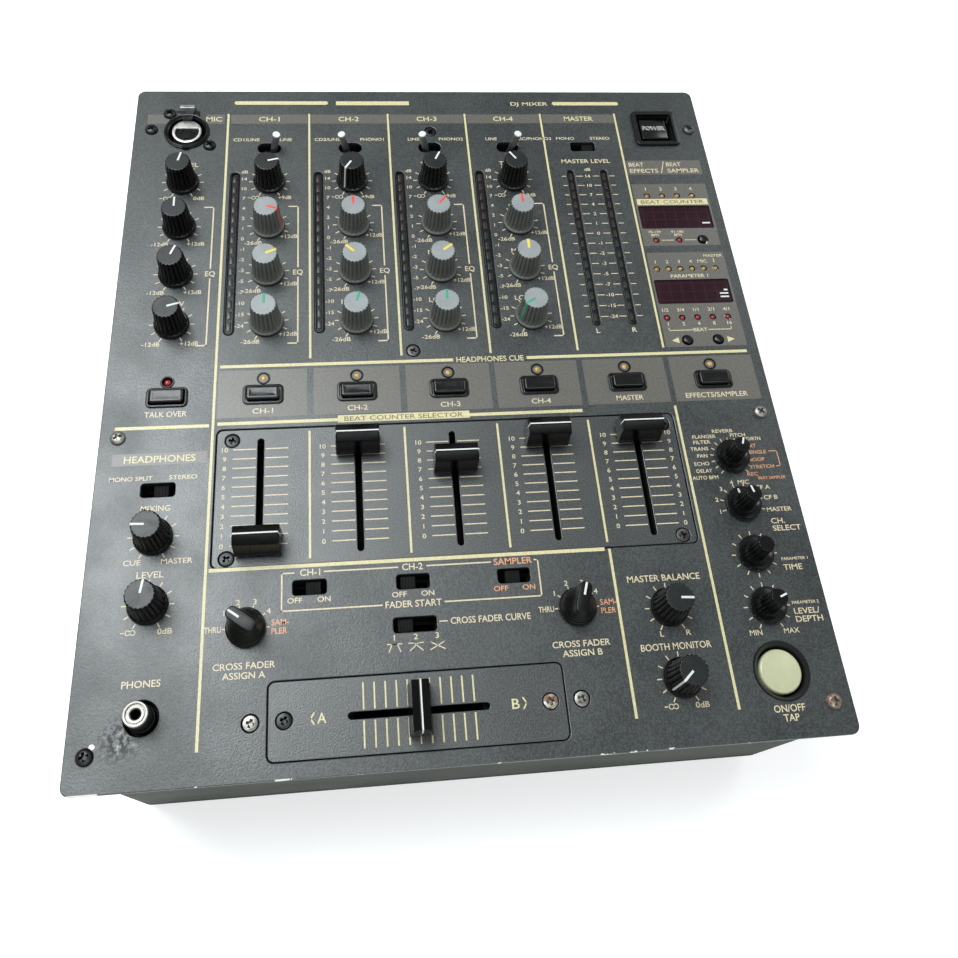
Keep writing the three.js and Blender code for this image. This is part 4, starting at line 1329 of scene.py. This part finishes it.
def build_pointer(name, make, base, top):
    """The inlaid line: along the top, and down the side of the fluted knobs."""
    form = Form().at(*spot(name), turn=REST_ANGLES[name])
    start, end, width = {fluted_knob: (0.5, 6.1, 1.0), skirted_knob: (0.2, 3.5, 0.85),
                         bar_knob: (1.4, 6.9, 0.95)}[make]
    if name.split("_")[2] in TONES:
        width = 1.3
    middle = (start + end) / 2
    form.block(end - start, width, top - 0.5, top + 0.1, 0.2, 0.08, middle, 0.0)
    if make is fluted_knob:
        lean = math.atan2(7.5 - 6.3, top - base - 2.0)
        slope = Matrix.Translation((6.46, 0.0, (base + top) / 2 + 0.6)) @ Matrix.Rotation(-lean, 4, "Y")
        form.at(*spot(name), turn=REST_ANGLES[name], tilt=slope)
        form.stack([(rounded(0.9, width * 0.85, 0.1), -(top - base) / 2 + 1.0),
                    (rounded(0.9, width * 0.85, 0.1), (top - base) / 2 - 0.9)])
    if make is skirted_knob and name == "effect_channel_knob":
        form.block(2.5, 0.85, base + 1.6, base + 2.7, 0.2, 0.08, 6.2, 0.0)
    form.finish(f"{name}_pointer", pointer_colour(name), "print_white", rides=name)


def build_knob(name):
    make = knob_family(name)
    low, top = extent(name)[2:]
    top -= KNOB_TOP_SINK
    base = TOP + 0.5
    form = Form().at(*spot(name), turn=REST_ANGLES[name])
    make(form, base, top, low)
    paint, lit_top_paint, slot = knob_paint(name)
    form.finish(name + "_body_shell", paint, slot, rides=name, hides=name, angle=50.0)
    if make is skirted_knob:
        build_skirt(name, base)
    if make is fluted_knob:
        # The top is a cap of its own in a lighter paint than the body: a painted highlight.
        cap = Form().at(*spot(name), turn=REST_ANGLES[name])
        edge = ((5.84, top - 0.3), (5.84, top + 0.02), (5.7, top + 0.06), (5.4, top + 0.06))
        cap.stack([(fluted_ring(reach, 0.32, 20), z) for reach, z in edge])
        cap.finish(name + "_cap", lit_top_paint, slot, rides=name)
    if name != "effect_time_knob":
        build_pointer(name, make, base, top)


# ---------- Faders ----------

# Length, share of the cap's depth, height above the panel.
CAP_PROFILE = (
    (19.6, 0.95, 1.5), (20.0, 1.0, 1.8), (20.0, 1.0, 3.0), (20.0, 0.92, 5.0), (19.95, 0.83, 8.0),
    (19.9, 0.78, 11.0), (19.75, 0.765, 13.5), (19.6, 0.745, 13.85), (19.3, 0.7, 14.1),
    (18.9, 0.14, 16.0), (18.8, 0.06, 16.1))


def build_fader(name, turned):
    """A cap with sloping flanks and a roof; its white line runs along the ridge and down the ends."""
    x, y = spot(name)
    low = extent(name)[2]
    turn = 90.0 if turned else 0.0
    depth = 9.4 if turned else 11.0
    cap = Form().at(x, y, turn=turn)
    stem = rounded(1.6, 6.0, 0.2, steps=4)
    levels = [(stem, low), (stem, TOP + 1.5)]
    for length, share, z in CAP_PROFILE:
        levels.append((rounded(length, depth * share, 0.45, steps=4), TOP + z))
    cap.stack(levels)
    cap.finish(f"{name}_cap", "fader", "fader_black", rides=name, hides=name, angle=16)
    upright = Matrix.Rotation(math.pi / 2, 4, "X")
    line = Form().at(x, y, turn=turn, tilt=upright)
    half = [(length / 2 + 0.06, TOP + z + 0.04) for length, share, z in CAP_PROFILE[5:]]
    inner = [(reach - 0.5, z - 0.5) for reach, z in half]
    band = [*half, *((-reach, z) for reach, z in reversed(half)),
            *((-reach, z) for reach, z in inner), *reversed(inner)]
    line.stack([(band, -0.3), (band, 0.3)])
    line.finish(f"{name}_line", "white", "print_white", rides=name)


# ---------- Toggles, buttons, slide switches ----------

def build_toggle(name):
    """A plated lever, leaning to one side; its flat metal tip is painted white, a painted reflection."""
    x, y = TOGGLE_PLACES[TOGGLES.index(name)]
    pivot_z = TOP - 13.0
    lean = 11.0 if spot(name)[0] > x else -11.0
    tilt = Matrix.Rotation(math.radians(lean), 4, "Y")
    lever = Form().at(x, y, pivot_z, tilt=tilt)
    lever.turned([(1.7, -2.0), (2.0, -1.7), (2.3, 4.0), (2.2, 6.0), (1.8, 8.5), (1.75, 12.0), (1.95, 20.0),
                  (2.05, 23.2), (2.0, 23.9)], 36)
    lever.finish(f"{name}_lever", "lever", "lever_metal", rides=name, hides=name)
    # The metal tip is painted white for the light it reflects: a painted reflection.
    tip = Form().at(x, y, pivot_z, tilt=tilt)
    tip.turned([(2.02, 23.7), (2.05, 24.2), (1.95, 24.5), (1.6, 24.62), (0.9, 24.65)], 36)
    tip.finish(f"{name}_tip", "white", "lever_metal", rides=name)


def build_toggle_bushings():
    form = Form()
    for x, y in TOGGLE_PLACES:
        form.bezel((17.0, 11.0), (12.8, 7.2), 3.6, UNDERSIDE - 6.0, UNDERSIDE - 0.1, x, y)
    form.finish("toggle_bushings", "shade", "socket_black")


def build_bar_buttons():
    """Dished caps on square plungers, in soft-edged frames."""
    frames = Form()
    for name, x in zip(BAR_BUTTONS, STRIPS):
        frames.bezel((19.0, 10.1), (16.2, 7.7), 2.4, TOP - 1.6, TOP + 0.9, x, CUE_Y)
        width, depth, low, high = extent(name)
        cap = Form().at(x, CUE_Y)
        levels = []
        for inset, z in ((0.0, TOP - 6.0), (0.0, high - 0.9), (0.12, high - 0.5), (0.45, high - 0.15),
                         (0.9, high - 0.02), (1.6, high - 0.08), (2.6, high - 0.16)):
            levels.append((rounded(width - 2 * inset, depth - 2 * inset, max(1.2 - inset, 0.2)), z))
        cap.stack(levels)
        cap.block(5.0, 5.0, low, TOP - 5.8)
        cap.finish(f"{name}_cap", "button", "button_black", rides=name, hides=name)
    frames.finish("button_frames", "bezel", "socket_black")


def build_power_button():
    """A raised block on a wider foot, sunk in a square frame."""
    name = "power_button"
    x, y = spot(name)
    width, depth, low, high = extent(name)
    rim = Form()
    rim.bezel((26.0, 25.4), (20.5, 20.3), 2.8, TOP - 0.5, TOP + 1.6, x, y)
    rim.finish("power_frame", "bezel", "socket_black")
    cap = Form().at(x, y)
    cap.block(8.0, 8.0, low, low + 3.0)
    cap.block(width, depth, low + 2.5, TOP - 4.2, 1.4, 0.4)
    # The block stands a little off the middle of its foot.
    shift_x, shift_y = -0.5, 0.7
    cap.block(15.6, 15.0, TOP - 4.4, high, 1.3, 0.7, shift_x, shift_y)
    cap.finish("power_button_cap", "button", "button_black", rides=name, hides=name)
    mark = Ink(0.06)
    mark.level = high + 0.02
    # Three strikes, a hair apart, make the strokes as bold as pad print.
    for strike in (-0.12, 0.0, 0.12):
        mark.words("POWER", x + shift_x + strike, y + shift_y + 0.6 + strike, 2.7, 13.0)
    mark.finish("power_button_word", "bright", "print_white", rides=name)


def build_effect_button():
    """A milky round lens in a dished ring."""
    name = "effect_on_button"
    x, y = spot(name)
    width, _, low, _ = extent(name)
    ring = Form()
    ring.turned([(12.2, UNDERSIDE - 1.0), (12.2, TOP - 0.02), (12.4, TOP + 0.25), (12.2, TOP + 0.5),
                 (11.8, TOP + 0.5), (11.2, TOP - 0.2), (10.5, TOP - 1.5), (10.3, TOP - 3.0),
                 (10.3, UNDERSIDE - 1.0)], 64, loop=True, x=x, y=y)
    # The ring is glossy black plastic; its lighter paint is a painted reflection.
    ring.finish("effect_button_ring", "slate_painted_highlight", "button_black")
    cap = Form()
    lens = width / 2 - 0.5
    crown = TOP - 0.5
    cap.turned([(lens, low + 2.6), (lens, crown - 1.8), (lens - 0.12, crown - 1.3), (lens - 0.5, crown - 0.9),
                (lens - 1.0, crown - 0.75), (lens - 1.4, crown - 0.78), (lens - 2.2, crown - 0.58),
                (lens - 4.5, crown - 0.25), (lens - 7.0, crown - 0.08), (0.8, crown)], 64, x=x, y=y)
    cap.block(6.0, 6.0, low, low + 3.0, x=x, y=y)
    cap.finish("effect_button_cap", "glow", "glow_plastic", rides=name, hides=name)


def build_slides():
    """Ribbed nubs in open trays under the panel's windows."""
    trays = Form()
    for name, (x, y, window) in SLIDES.items():
        trays.bezel((window + 2.4, SLIDE_WINDOW_DEPTH + 2.4), (window, SLIDE_WINDOW_DEPTH), 1.6,
                    UNDERSIDE - 5.0, UNDERSIDE - 0.05, x, y)
        at_x, at_y = spot(name)
        low, high = extent(name)[2:]
        nub = Form().at(at_x, at_y)
        nub.block(6.4, 5.4, UNDERSIDE - 4.8, high - 0.35, 0.4, 0.2)
        for rib in range(5):
            nub.block(0.7, 5.2, high - 1.3, high, 0.2, 0.25, x=-2.6 + 1.3 * rib)
        nub.block(3.0, 2.0, low, UNDERSIDE - 4.7)
        nub.finish(f"{name}_nub", "shade", "button_black", rides=name, hides=name)
    trays.finish("slide_switch_trays", "shade", "socket_black")


# ---------- Sockets on the panel ----------

CONTACTS = [polar(4.0, angle, 0.0, -0.9) for angle in (30, 150, 270)]


def latch_window(reach):
    """A round hole whose rear side is cut straight across."""
    return [(x, min(y, 0.32 * reach)) for x, y in circle(reach, steps=48)]


def build_microphone_socket():
    build_socket_shell()
    build_socket_cup()
    build_socket_contacts()
    build_latch()


def build_socket_shell():
    x, y = MICROPHONE
    low, high = extent("microphone_socket")[2:]
    shell = Form()
    shell.turned([(11.0, low), (11.0, TOP + 0.1), (12.0, TOP + 0.15), (12.15, TOP + 0.5), (12.1, TOP + 1.0),
                  (11.7, TOP + 1.2), (11.55, high - 0.1), (11.3, high), (10.9, high - 0.1), (10.6, TOP + 1.0),
                  (10.2, TOP + 0.6), (9.9, TOP + 0.3), (9.9, TOP - 14.0), (7.9, TOP - 14.0), (7.9, low)],
                 64, loop=True, x=x, y=y)
    shell.finish("microphone_socket_shell", "bezel", "socket_black", hides="microphone_socket")
    key = Form()
    key.block(3.4, 3.0, TOP + 0.3, high + 0.02, 0.4, 0.2, x, y - 11.2)
    key.finish("microphone_socket_key", "shade", "socket_black")


def build_socket_cup():
    """A plated cup whose mouth is cut straight on the latch's side."""
    cup = Form().at(*MICROPHONE)
    outer = [(circle(radius, steps=48), z) for radius, z in
             ((8.0, TOP - 13.5), (8.0, TOP + 0.3), (7.8, TOP + 0.6), (7.5, TOP + 0.7))]
    inner = [(latch_window(radius), z) for radius, z in
             ((6.6, TOP + 0.65), (6.3, TOP + 0.35), (6.3, TOP - 13.5))]
    cup.stack(outer + inner, loop=True)
    cup.finish("microphone_socket_cup", "plated", "plated_metal")


def build_socket_contacts():
    """Three contacts in an insulator."""
    x, y = MICROPHONE
    core = Form().at(x, y)
    core.plate(latch_window(6.28), [circle(1.4, *place, 20) for place in CONTACTS], TOP - 13.0, TOP - 0.8)
    core.finish("microphone_socket_insulator", "shade", "socket_black")
    contacts = Form()
    for shift_x, shift_y in CONTACTS:
        contacts.turned([(1.35, TOP - 12.0), (1.35, TOP - 1.8), (1.1, TOP - 1.7), (0.9, TOP - 1.9),
                         (0.9, TOP - 12.0)], 20, loop=True, x=x + shift_x, y=y + shift_y)
    contacts.finish("microphone_socket_contacts", "zinc", "plated_metal")


def build_latch():
    """The release latch: a bracket, a lever and the tab that is pressed."""
    x, y = MICROPHONE
    latch = Form()
    latch.block(12.6, 3.4, TOP - 1.0, TOP + 1.2, 0.6, 0.3, x, y + 12.8)
    latch.finish("microphone_latch_bracket", "socket", "socket_black")
    lever = Form().at(x, y)
    lever.stack([([(-2.6, 7.4), (2.6, 7.4), (4.1, 15.6), (-4.1, 15.6)], TOP + 0.7),
                 ([(-2.5, 7.6), (2.5, 7.6), (4.0, 15.5), (-4.0, 15.5)], TOP + 1.9)])
    lever.finish("microphone_latch_lever", "screw", "socket_black")
    tab = Form().at(x - 0.3, y + 16.4, TOP + 2.2, tilt=Matrix.Rotation(math.radians(-14), 4, "X"))
    tab.block(8.2, 2.9, -0.9, 0.5, 0.6, 0.4)
    tab.finish("microphone_latch_tab", "plated", "plated_metal")


def build_phones_socket():
    """A knurled collar with the plated end of an adapter standing in it."""
    x, y = PHONES
    collar = Form()
    knurl = [(fluted_ring(radius, depth, 24), z) for radius, depth, z in (
        (5.4, 0.0, TOP - 6.0), (5.4, 0.0, TOP + 0.3), (5.1, 0.1, TOP + 0.6), (5.0, 0.12, TOP + 8.0),
        (4.95, 0.05, TOP + 8.7), (4.8, 0.0, TOP + 9.1), (4.6, 0.0, TOP + 9.1), (4.6, 0.0, TOP - 6.0))]
    collar.at(x, y).stack(knurl, loop=True)
    collar.finish("phones_collar", "socket", "socket_black")
    ring = Form()
    ring.turned([(4.8, TOP + 8.9), (4.9, TOP + 9.4), (4.9, PHONES_TOP - 0.4), (4.65, PHONES_TOP - 0.05),
                 (4.2, PHONES_TOP), (3.85, PHONES_TOP - 0.1), (3.7, PHONES_TOP - 0.8),
                 (3.45, PHONES_TOP - 0.8), (3.3, PHONES_TOP - 0.2), (2.4, PHONES_TOP - 0.25),
                 (2.0, PHONES_TOP - 0.6), (2.0, TOP + 2.0), (4.8, TOP + 2.0)], 48, loop=True, x=x, y=y)
    ring.finish("phones_plated_end", "zinc", "plated_metal")
    bore = Form()
    bore.turned([(1.99, TOP + 2.1), (1.99, PHONES_TOP - 0.9), (1.85, PHONES_TOP - 0.9), (1.85, TOP + 3.0),
                 (0.4, TOP + 2.9)], 24, x=x, y=y)
    bore.finish("phones_bore", "shade", "socket_black")


# ---------- Case, rear and inside ----------

CASE_LEFT = 12.5
CASE_FRONT = 2.0
CASE_REAR = 348.0
CASE_LOW = 8.0
WALL = 1.2
FOOT_INSET = 36.0


def build_case():
    """Folded sheet: floor, sides and front in one, open at the rear."""
    high = extent("chassis")[3]
    middle_x = PANEL_WIDTH / 2
    width = PANEL_WIDTH - 2 * CASE_LEFT
    depth = CASE_REAR - CASE_FRONT
    middle_y = (CASE_REAR + CASE_FRONT) / 2
    outer = case_outline(width, depth, 6.0, middle_x, middle_y)
    form = Form().plate(outer, [], CASE_LOW, CASE_LOW + WALL, edge=0.3)
    inner = case_outline(width - 2 * WALL, depth - WALL, 4.8, middle_x, middle_y + WALL / 2)
    wall = outer + inner[::-1]
    form.stack([(wall, CASE_LOW + 0.3), (wall, high)])
    form.finish("case", "case", "chassis_paint", hides="chassis")
    build_feet()
    build_case_screws()


def case_outline(width, depth, corner, x, y):
    """A plan with round front corners and square rear ones, from the rear right corner."""
    left, right = x - width / 2, x + width / 2
    front, rear = y - depth / 2, y + depth / 2
    points = [(left, rear)]
    for start, middle in ((180, left + corner), (270, right - corner)):
        points += [polar(corner, start + 90 * step / 8, middle, front + corner) for step in range(9)]
    points.append((right, rear))
    return points


def build_feet():
    feet, screws = Form(), Form()
    for x in (FOOT_INSET, PANEL_WIDTH - FOOT_INSET):
        for y in (FOOT_INSET, PANEL_DEPTH - FOOT_INSET):
            feet.turned([(11.4, CASE_LOW + 0.1), (11.5, 7.4), (11.5, 3.4), (11.1, 2.4), (9.9, 0.5),
                         (9.3, 0.0), (4.2, 0.0), (4.0, 0.4), (4.0, 3.5)], 48, x=x, y=y)
            screws.turned([(2.0, 5.2), (3.2, 3.6), (3.2, 2.9), (2.6, 2.4), (0.6, 2.2)], 24, x=x, y=y)
    feet.finish("feet", "rubber", "foot_rubber")
    screws.finish("foot_screws", "zinc", "screw_metal")


def build_case_screws():
    screw = screw_mesh(3.2, True)
    form = Form()
    for side, x in ((-90.0, CASE_LEFT), (90.0, PANEL_WIDTH - CASE_LEFT)):
        for y in (60.0, 180.0, 300.0):
            form.at(x, y, 74.0, tilt=Matrix.Rotation(math.radians(side), 4, "Y")).add_mesh(screw)
    form.finish("case_screws", "screw", "screw_metal")


REAR_FACE = 347.8


def outward(x, z):
    """A place on the rear face: local X towards the panel's left, local Y up, local Z out of the rear."""
    return Matrix(((-1, 0, 0, x), (0, 0, 1, REAR_FACE), (0, 1, 0, z), (0, 0, 0, 1)))


def on_rear(form, x, z):
    form.matrix = outward(x, z)
    return form


def phono_places():
    places = [(STRIPS[channel] + side, z) for channel in CHANNELS for side in (-8, 8) for z in (30, 50)]
    return places + [(232, 27), (250, 27)]


XLR_PLACES = [(232, 54), (264, 54)]
INLET = (286, 27)


def build_rear():
    bottom, top = CASE_LOW + 1.6, UNDERSIDE - 0.4
    middle_z = (bottom + top) / 2
    half_width = PANEL_WIDTH / 2 - CASE_LEFT - WALL - 0.4
    holes = [circle(4.6, -(x - PANEL_WIDTH / 2), z - middle_z, 24) for x, z in phono_places()]
    holes += [circle(10.2, -(x - PANEL_WIDTH / 2), z - middle_z, 40) for x, z in XLR_PLACES]
    holes.append(rounded(26.0, 18.0, 2.0, -(INLET[0] - PANEL_WIDTH / 2), INLET[1] - middle_z))
    sheet = on_rear(Form(), PANEL_WIDTH / 2, middle_z)
    sheet.plate(rounded(2 * half_width, top - bottom, 0.6), holes, -1.2, 0.0, edge=0.2)
    sheet.finish("rear_sheet", "rear", "rear_paint", hides="rear_panel", angle=SHEET_ANGLE)
    build_phono_jacks()
    build_xlr_outputs()
    build_inlet()
    build_rear_print()


def build_phono_jacks():
    barrels, cores, rings = Form(), Form(), {"red": Form(), "white": Form()}
    for x, z in phono_places():
        colour = "red" if (z == 30 or x == 250) else "white"
        on_rear(barrels, x, z).turned([
            (4.4, -1.0), (4.4, 0.9), (4.15, 1.1), (4.15, 8.5), (3.95, 8.9), (3.4, 9.0), (3.1, 8.8),
            (3.1, 0.6), (3.1, -1.0)], 32, loop=True)
        on_rear(cores, x, z).turned([(3.05, -1.0), (3.05, 8.0), (1.6, 8.1), (1.5, 7.2), (1.5, 1.0),
                                     (0.3, 0.9)], 24)
        on_rear(rings[colour], x, z).turned([(6.4, 0.02), (6.4, 0.9), (6.1, 1.2), (4.6, 1.2), (4.45, 0.9),
                                             (4.45, 0.02)], 32, loop=True)
    barrels.finish("phono_barrels", "plated", "plated_metal")
    cores.finish("phono_cores", "socket", "socket_black")
    rings["red"].finish("phono_rings_red", "red", "lens_red")
    rings["white"].finish("phono_rings_white", "white", "print_white")


def build_xlr_outputs():
    shells, pins, screws = Form(), Form(), Form()
    screw = screw_mesh(2.4, True)
    for x, z in XLR_PLACES:
        on_rear(shells, x, z)
        shells.plate(rounded(25.0, 30.0, 2.6), [circle(9.4, steps=48)], 0.05, 1.5, edge=0.3)
        shells.turned([(10.1, 0.4), (9.4, 0.4), (9.4, -12.0), (0.6, -12.0), (0.6, -13.5), (10.1, -13.5)], 48,
                      loop=True)
        for angle in (90, 210, 330):
            pin_x, pin_y = polar(4.2, angle)
            on_rear(pins, x, z).turned([(1.2, -12.2), (1.2, -2.6), (0.9, -2.0), (0.4, -1.8)], 16,
                                       x=pin_x, y=pin_y)
        for sx, sz in ((-9.6, 12.0), (9.6, -12.0)):
            on_rear(screws, x + sx, z + sz)
            screws.matrix = screws.matrix @ Matrix.Translation((0, 0, 1.4))
            screws.add_mesh(screw)
    for x in (20.0, 110.0, 209.0, 301.0):
        for z in (15.0, 81.0):
            on_rear(screws, x, z).add_mesh(screw)
    shells.finish("balanced_output_shells", "socket", "socket_black")
    pins.finish("balanced_output_pins", "gold", "plated_metal")
    screws.finish("rear_screws", "screw", "screw_metal")


def build_inlet():
    x, z = INLET
    shell = on_rear(Form(), x, z)
    shell.plate(rounded(29.0, 21.0, 2.4), [rounded(24.0, 16.0, 2.0)], 0.05, 1.5, edge=0.3)
    outer, inner = rounded(25.6, 17.6, 2.2), rounded(24.0, 16.0, 2.0)
    shell.stack([(outer, 0.4), (inner, 0.4), (inner, -14.0), (outer, -14.0)], loop=True)
    shell.stack([(outer, -15.5), (outer, -14.0)])
    shell.finish("mains_inlet_shell", "socket", "socket_black")
    blades = on_rear(Form(), x, z)
    for side in (-7.0, 0.0, 7.0):
        blades.block(2.0, 4.0, -14.2, -3.0, 0.4, 0.5, x=side, y=2.0 if side == 0.0 else -1.5)
    blades.finish("mains_inlet_blades", "plated", "plated_metal")


def build_rear_print():
    ink = Ink(0.05)

    def label(text, x, z, height):
        """One line of letters on the rear face, centred on x."""
        mesh = mesh_of_words(text)
        xs = [vertex.co.x for vertex in mesh.vertices]
        size = height / CAPITAL
        shift = Matrix.Translation((-size * (max(xs) + min(xs)) / 2, -height / 2, 0.02))
        ink.matrix = outward(x, z) @ shift @ Matrix.Diagonal((size, size, 5.0, 1.0))
        ink.add_mesh(mesh)

    for channel in CHANNELS:
        label(f"CH-{channel}", STRIPS[channel], 66.0, 3.2)
        label("L", STRIPS[channel] + 17.0, 50.0, 2.4)
        label("R", STRIPS[channel] + 17.0, 30.0, 2.4)
        label("LINE", STRIPS[channel] - 8.0, 60.0, 2.0)
        label("PHONO" if channel > 1 else "CD", STRIPS[channel] + 8.0, 60.0, 2.0)
    label("MASTER OUT", 248.0, 74.5, 3.0)
    label("BOOTH", 241.0, 17.0, 2.4)
    label("AC IN", INLET[0], 42.0, 2.4)
    ink.finish("rear_print", "cream_ink", "print_white")


def build_board():
    low = extent("control_board")[2]
    width, depth = extent("control_board")[:2]
    board_top = low + 1.6
    hole = circle(12.0, *MICROPHONE, 32)
    form = Form().plate(rounded(width, depth, 2.5, *spot("control_board")), [hole], low, board_top, edge=0.1)
    form.finish("main_board", "board", "circuit_board", hides="control_board", angle=SHEET_ANGLE)
    build_potentiometers(board_top)
    build_switch_bodies(board_top)


def build_potentiometers(board_top):
    cans = Form()
    foot, rim, well = board_top - 0.1, board_top + 9.0, board_top + 3.4
    for name in REST_ANGLES:
        x, y = spot(name)
        can, mouth = rounded(11.0, 11.0, 0.8, x, y), rounded(7.6, 7.6, 3.79, x, y)
        cans.stack([(can, foot), (can, rim), (mouth, rim), (mouth, well),
                    (rounded(1.0, 1.0, 0.4, x, y), well)])
    cans.finish("potentiometer_cans", "can", "plated_metal")


def build_switch_bodies(board_top):
    """Dark bodies on the board: open trays for what slides, plain blocks for what is pressed."""
    bodies = Form()
    foot = board_top - 0.1

    def tray(x, y, outer, inner, corner, rim, floor, height):
        bodies.bezel(outer, inner, corner, foot, board_top + rim, x, y)
        bodies.block(*floor, foot, board_top + height, x=x, y=y)

    def pad(x, y, width, height):
        bodies.block(width, width, foot, board_top + height, x=x, y=y)

    tracks = [(spot(name)[0], FADER_MIDDLE, 10.0, 59.0) for name in FADERS]
    tracks.append((*spot("crossfader"), 59.0, 10.0))
    for x, y, wide, deep in tracks:
        tray(x, y, (wide, deep), (wide - 6.0, deep - 6.0), 0.8, 13.4, (wide - 2.0, deep - 2.0), 2.4)
    for x, y in TOGGLE_PLACES:
        tray(x, y, (14.0, 8.0), (9.2, 5.6), 0.8, 8.4, (11.0, 6.8), 1.0)
    for x, y, window in SLIDES.values():
        tray(x, y, (window + 3.0, 7.0), (window - 1.0, 3.0), 0.6, 9.4, (window + 1.0, 5.0), 1.0)
    for x in STRIPS:
        pad(x, CUE_Y, 8.0, 6.4)
    pad(*spot("power_button"), 14.0, 4.4)
    pad(*spot("effect_on_button"), 12.0, 6.4)
    bodies.turned([(6.2, foot), (6.2, TOP - 6.1)], 24, x=PHONES[0], y=PHONES[1])
    bodies.finish("switch_and_track_bodies", "shade", "socket_black")


# ---------- Stage ----------

# A little light of the floor's own keeps the shadow soft and pale.
FLOOR_GLOW = 0.42


def build_floor():
    shader = Shader("floor")
    faint = shader.ramp(shader.noise(3.0, 2.0), [(0.3, 0.86), (0.7, 0.88)])
    shader.set(Base_Color=faint, Roughness=0.8, Emission_Color=(1.0, 1.0, 1.0), Emission_Strength=FLOOR_GLOW)
    mesh = bpy.data.meshes.new("floor")
    reach = 6.0
    corners = [(-reach, -reach, 0), (reach, -reach, 0), (reach, reach, 0), (-reach, reach, 0)]
    mesh.from_pydata(corners, [], [(0, 1, 2, 3)])
    mesh.materials.append(shader.material)
    floor = bpy.data.objects.new("floor", mesh)
    bpy.context.scene.collection.objects.link(floor)


def add_softbox(name, place, target, size, power):
    light = bpy.data.lights.new(name, "AREA")
    light.shape = "RECTANGLE"
    light.size, light.size_y = size
    light.energy = power
    light.color = (0.93, 0.985, 1.0)
    holder = bpy.data.objects.new(name, light)
    holder.location = place
    holder.rotation_euler = (Vector(target) - Vector(place)).to_track_quat("-Z", "Y").to_euler()
    bpy.context.scene.collection.objects.link(holder)


def build_lights():
    world = bpy.data.worlds.new("studio")
    world.use_nodes = True
    background = world.node_tree.nodes["Background"]
    background.inputs["Color"].default_value = (0.97, 0.98, 1.0, 1.0)
    background.inputs["Strength"].default_value = 0.4
    bpy.context.scene.world = world
    add_softbox("softbox_left", (-0.5, 0.33, 1.3), (-0.1, -0.05, 0.08), (0.8, 0.8), 19.5)
    add_softbox("softbox_right", (0.95, 0.7, 0.75), (0.05, 0.0, 0.08), (0.6, 0.5), 3.2)
    add_softbox("softbox_front", (0.2, -0.95, 1.5), (0.0, 0.0, 0.08), (1.4, 0.7), 8.0)


def build_camera():
    """The view from above the front edge, a little left of the middle."""
    data = bpy.data.cameras.new("camera")
    data.sensor_width = 36.0
    data.lens = 35.65
    data.shift_x = 0.0168
    data.shift_y = -0.1394
    camera = bpy.data.objects.new("camera", data)
    place = (-0.04536, -0.21805, 0.49574)
    right = (0.99284, -0.08230, 0.08663)
    up = (0.02903, 0.86942, 0.49323)
    back = (-0.11591, -0.48718, 0.86558)
    camera.matrix_world = Matrix.Translation(place) @ Matrix((right, up, back)).transposed().to_4x4()
    bpy.context.scene.collection.objects.link(camera)
    bpy.context.scene.camera = camera


def build_everything():
    build_camera()
    build_lights()
    build_floor()
    build_panel()
    build_plates()
    build_backing()
    print_panel()
    build_screws()
    build_meters()
    build_lamps()
    build_displays()
    build_tact_buttons()
    for name in REST_ANGLES:
        build_knob(name)
    for name in FADERS:
        build_fader(name, False)
    build_fader("crossfader", True)
    for name in TOGGLES:
        build_toggle(name)
    build_toggle_bushings()
    build_bar_buttons()
    build_power_button()
    build_effect_button()
    build_slides()
    build_microphone_socket()
    build_phones_socket()
    build_case()
    build_rear()
    build_board()


build_everything()
bpy.context.scene.view_settings.view_transform = "Standard"
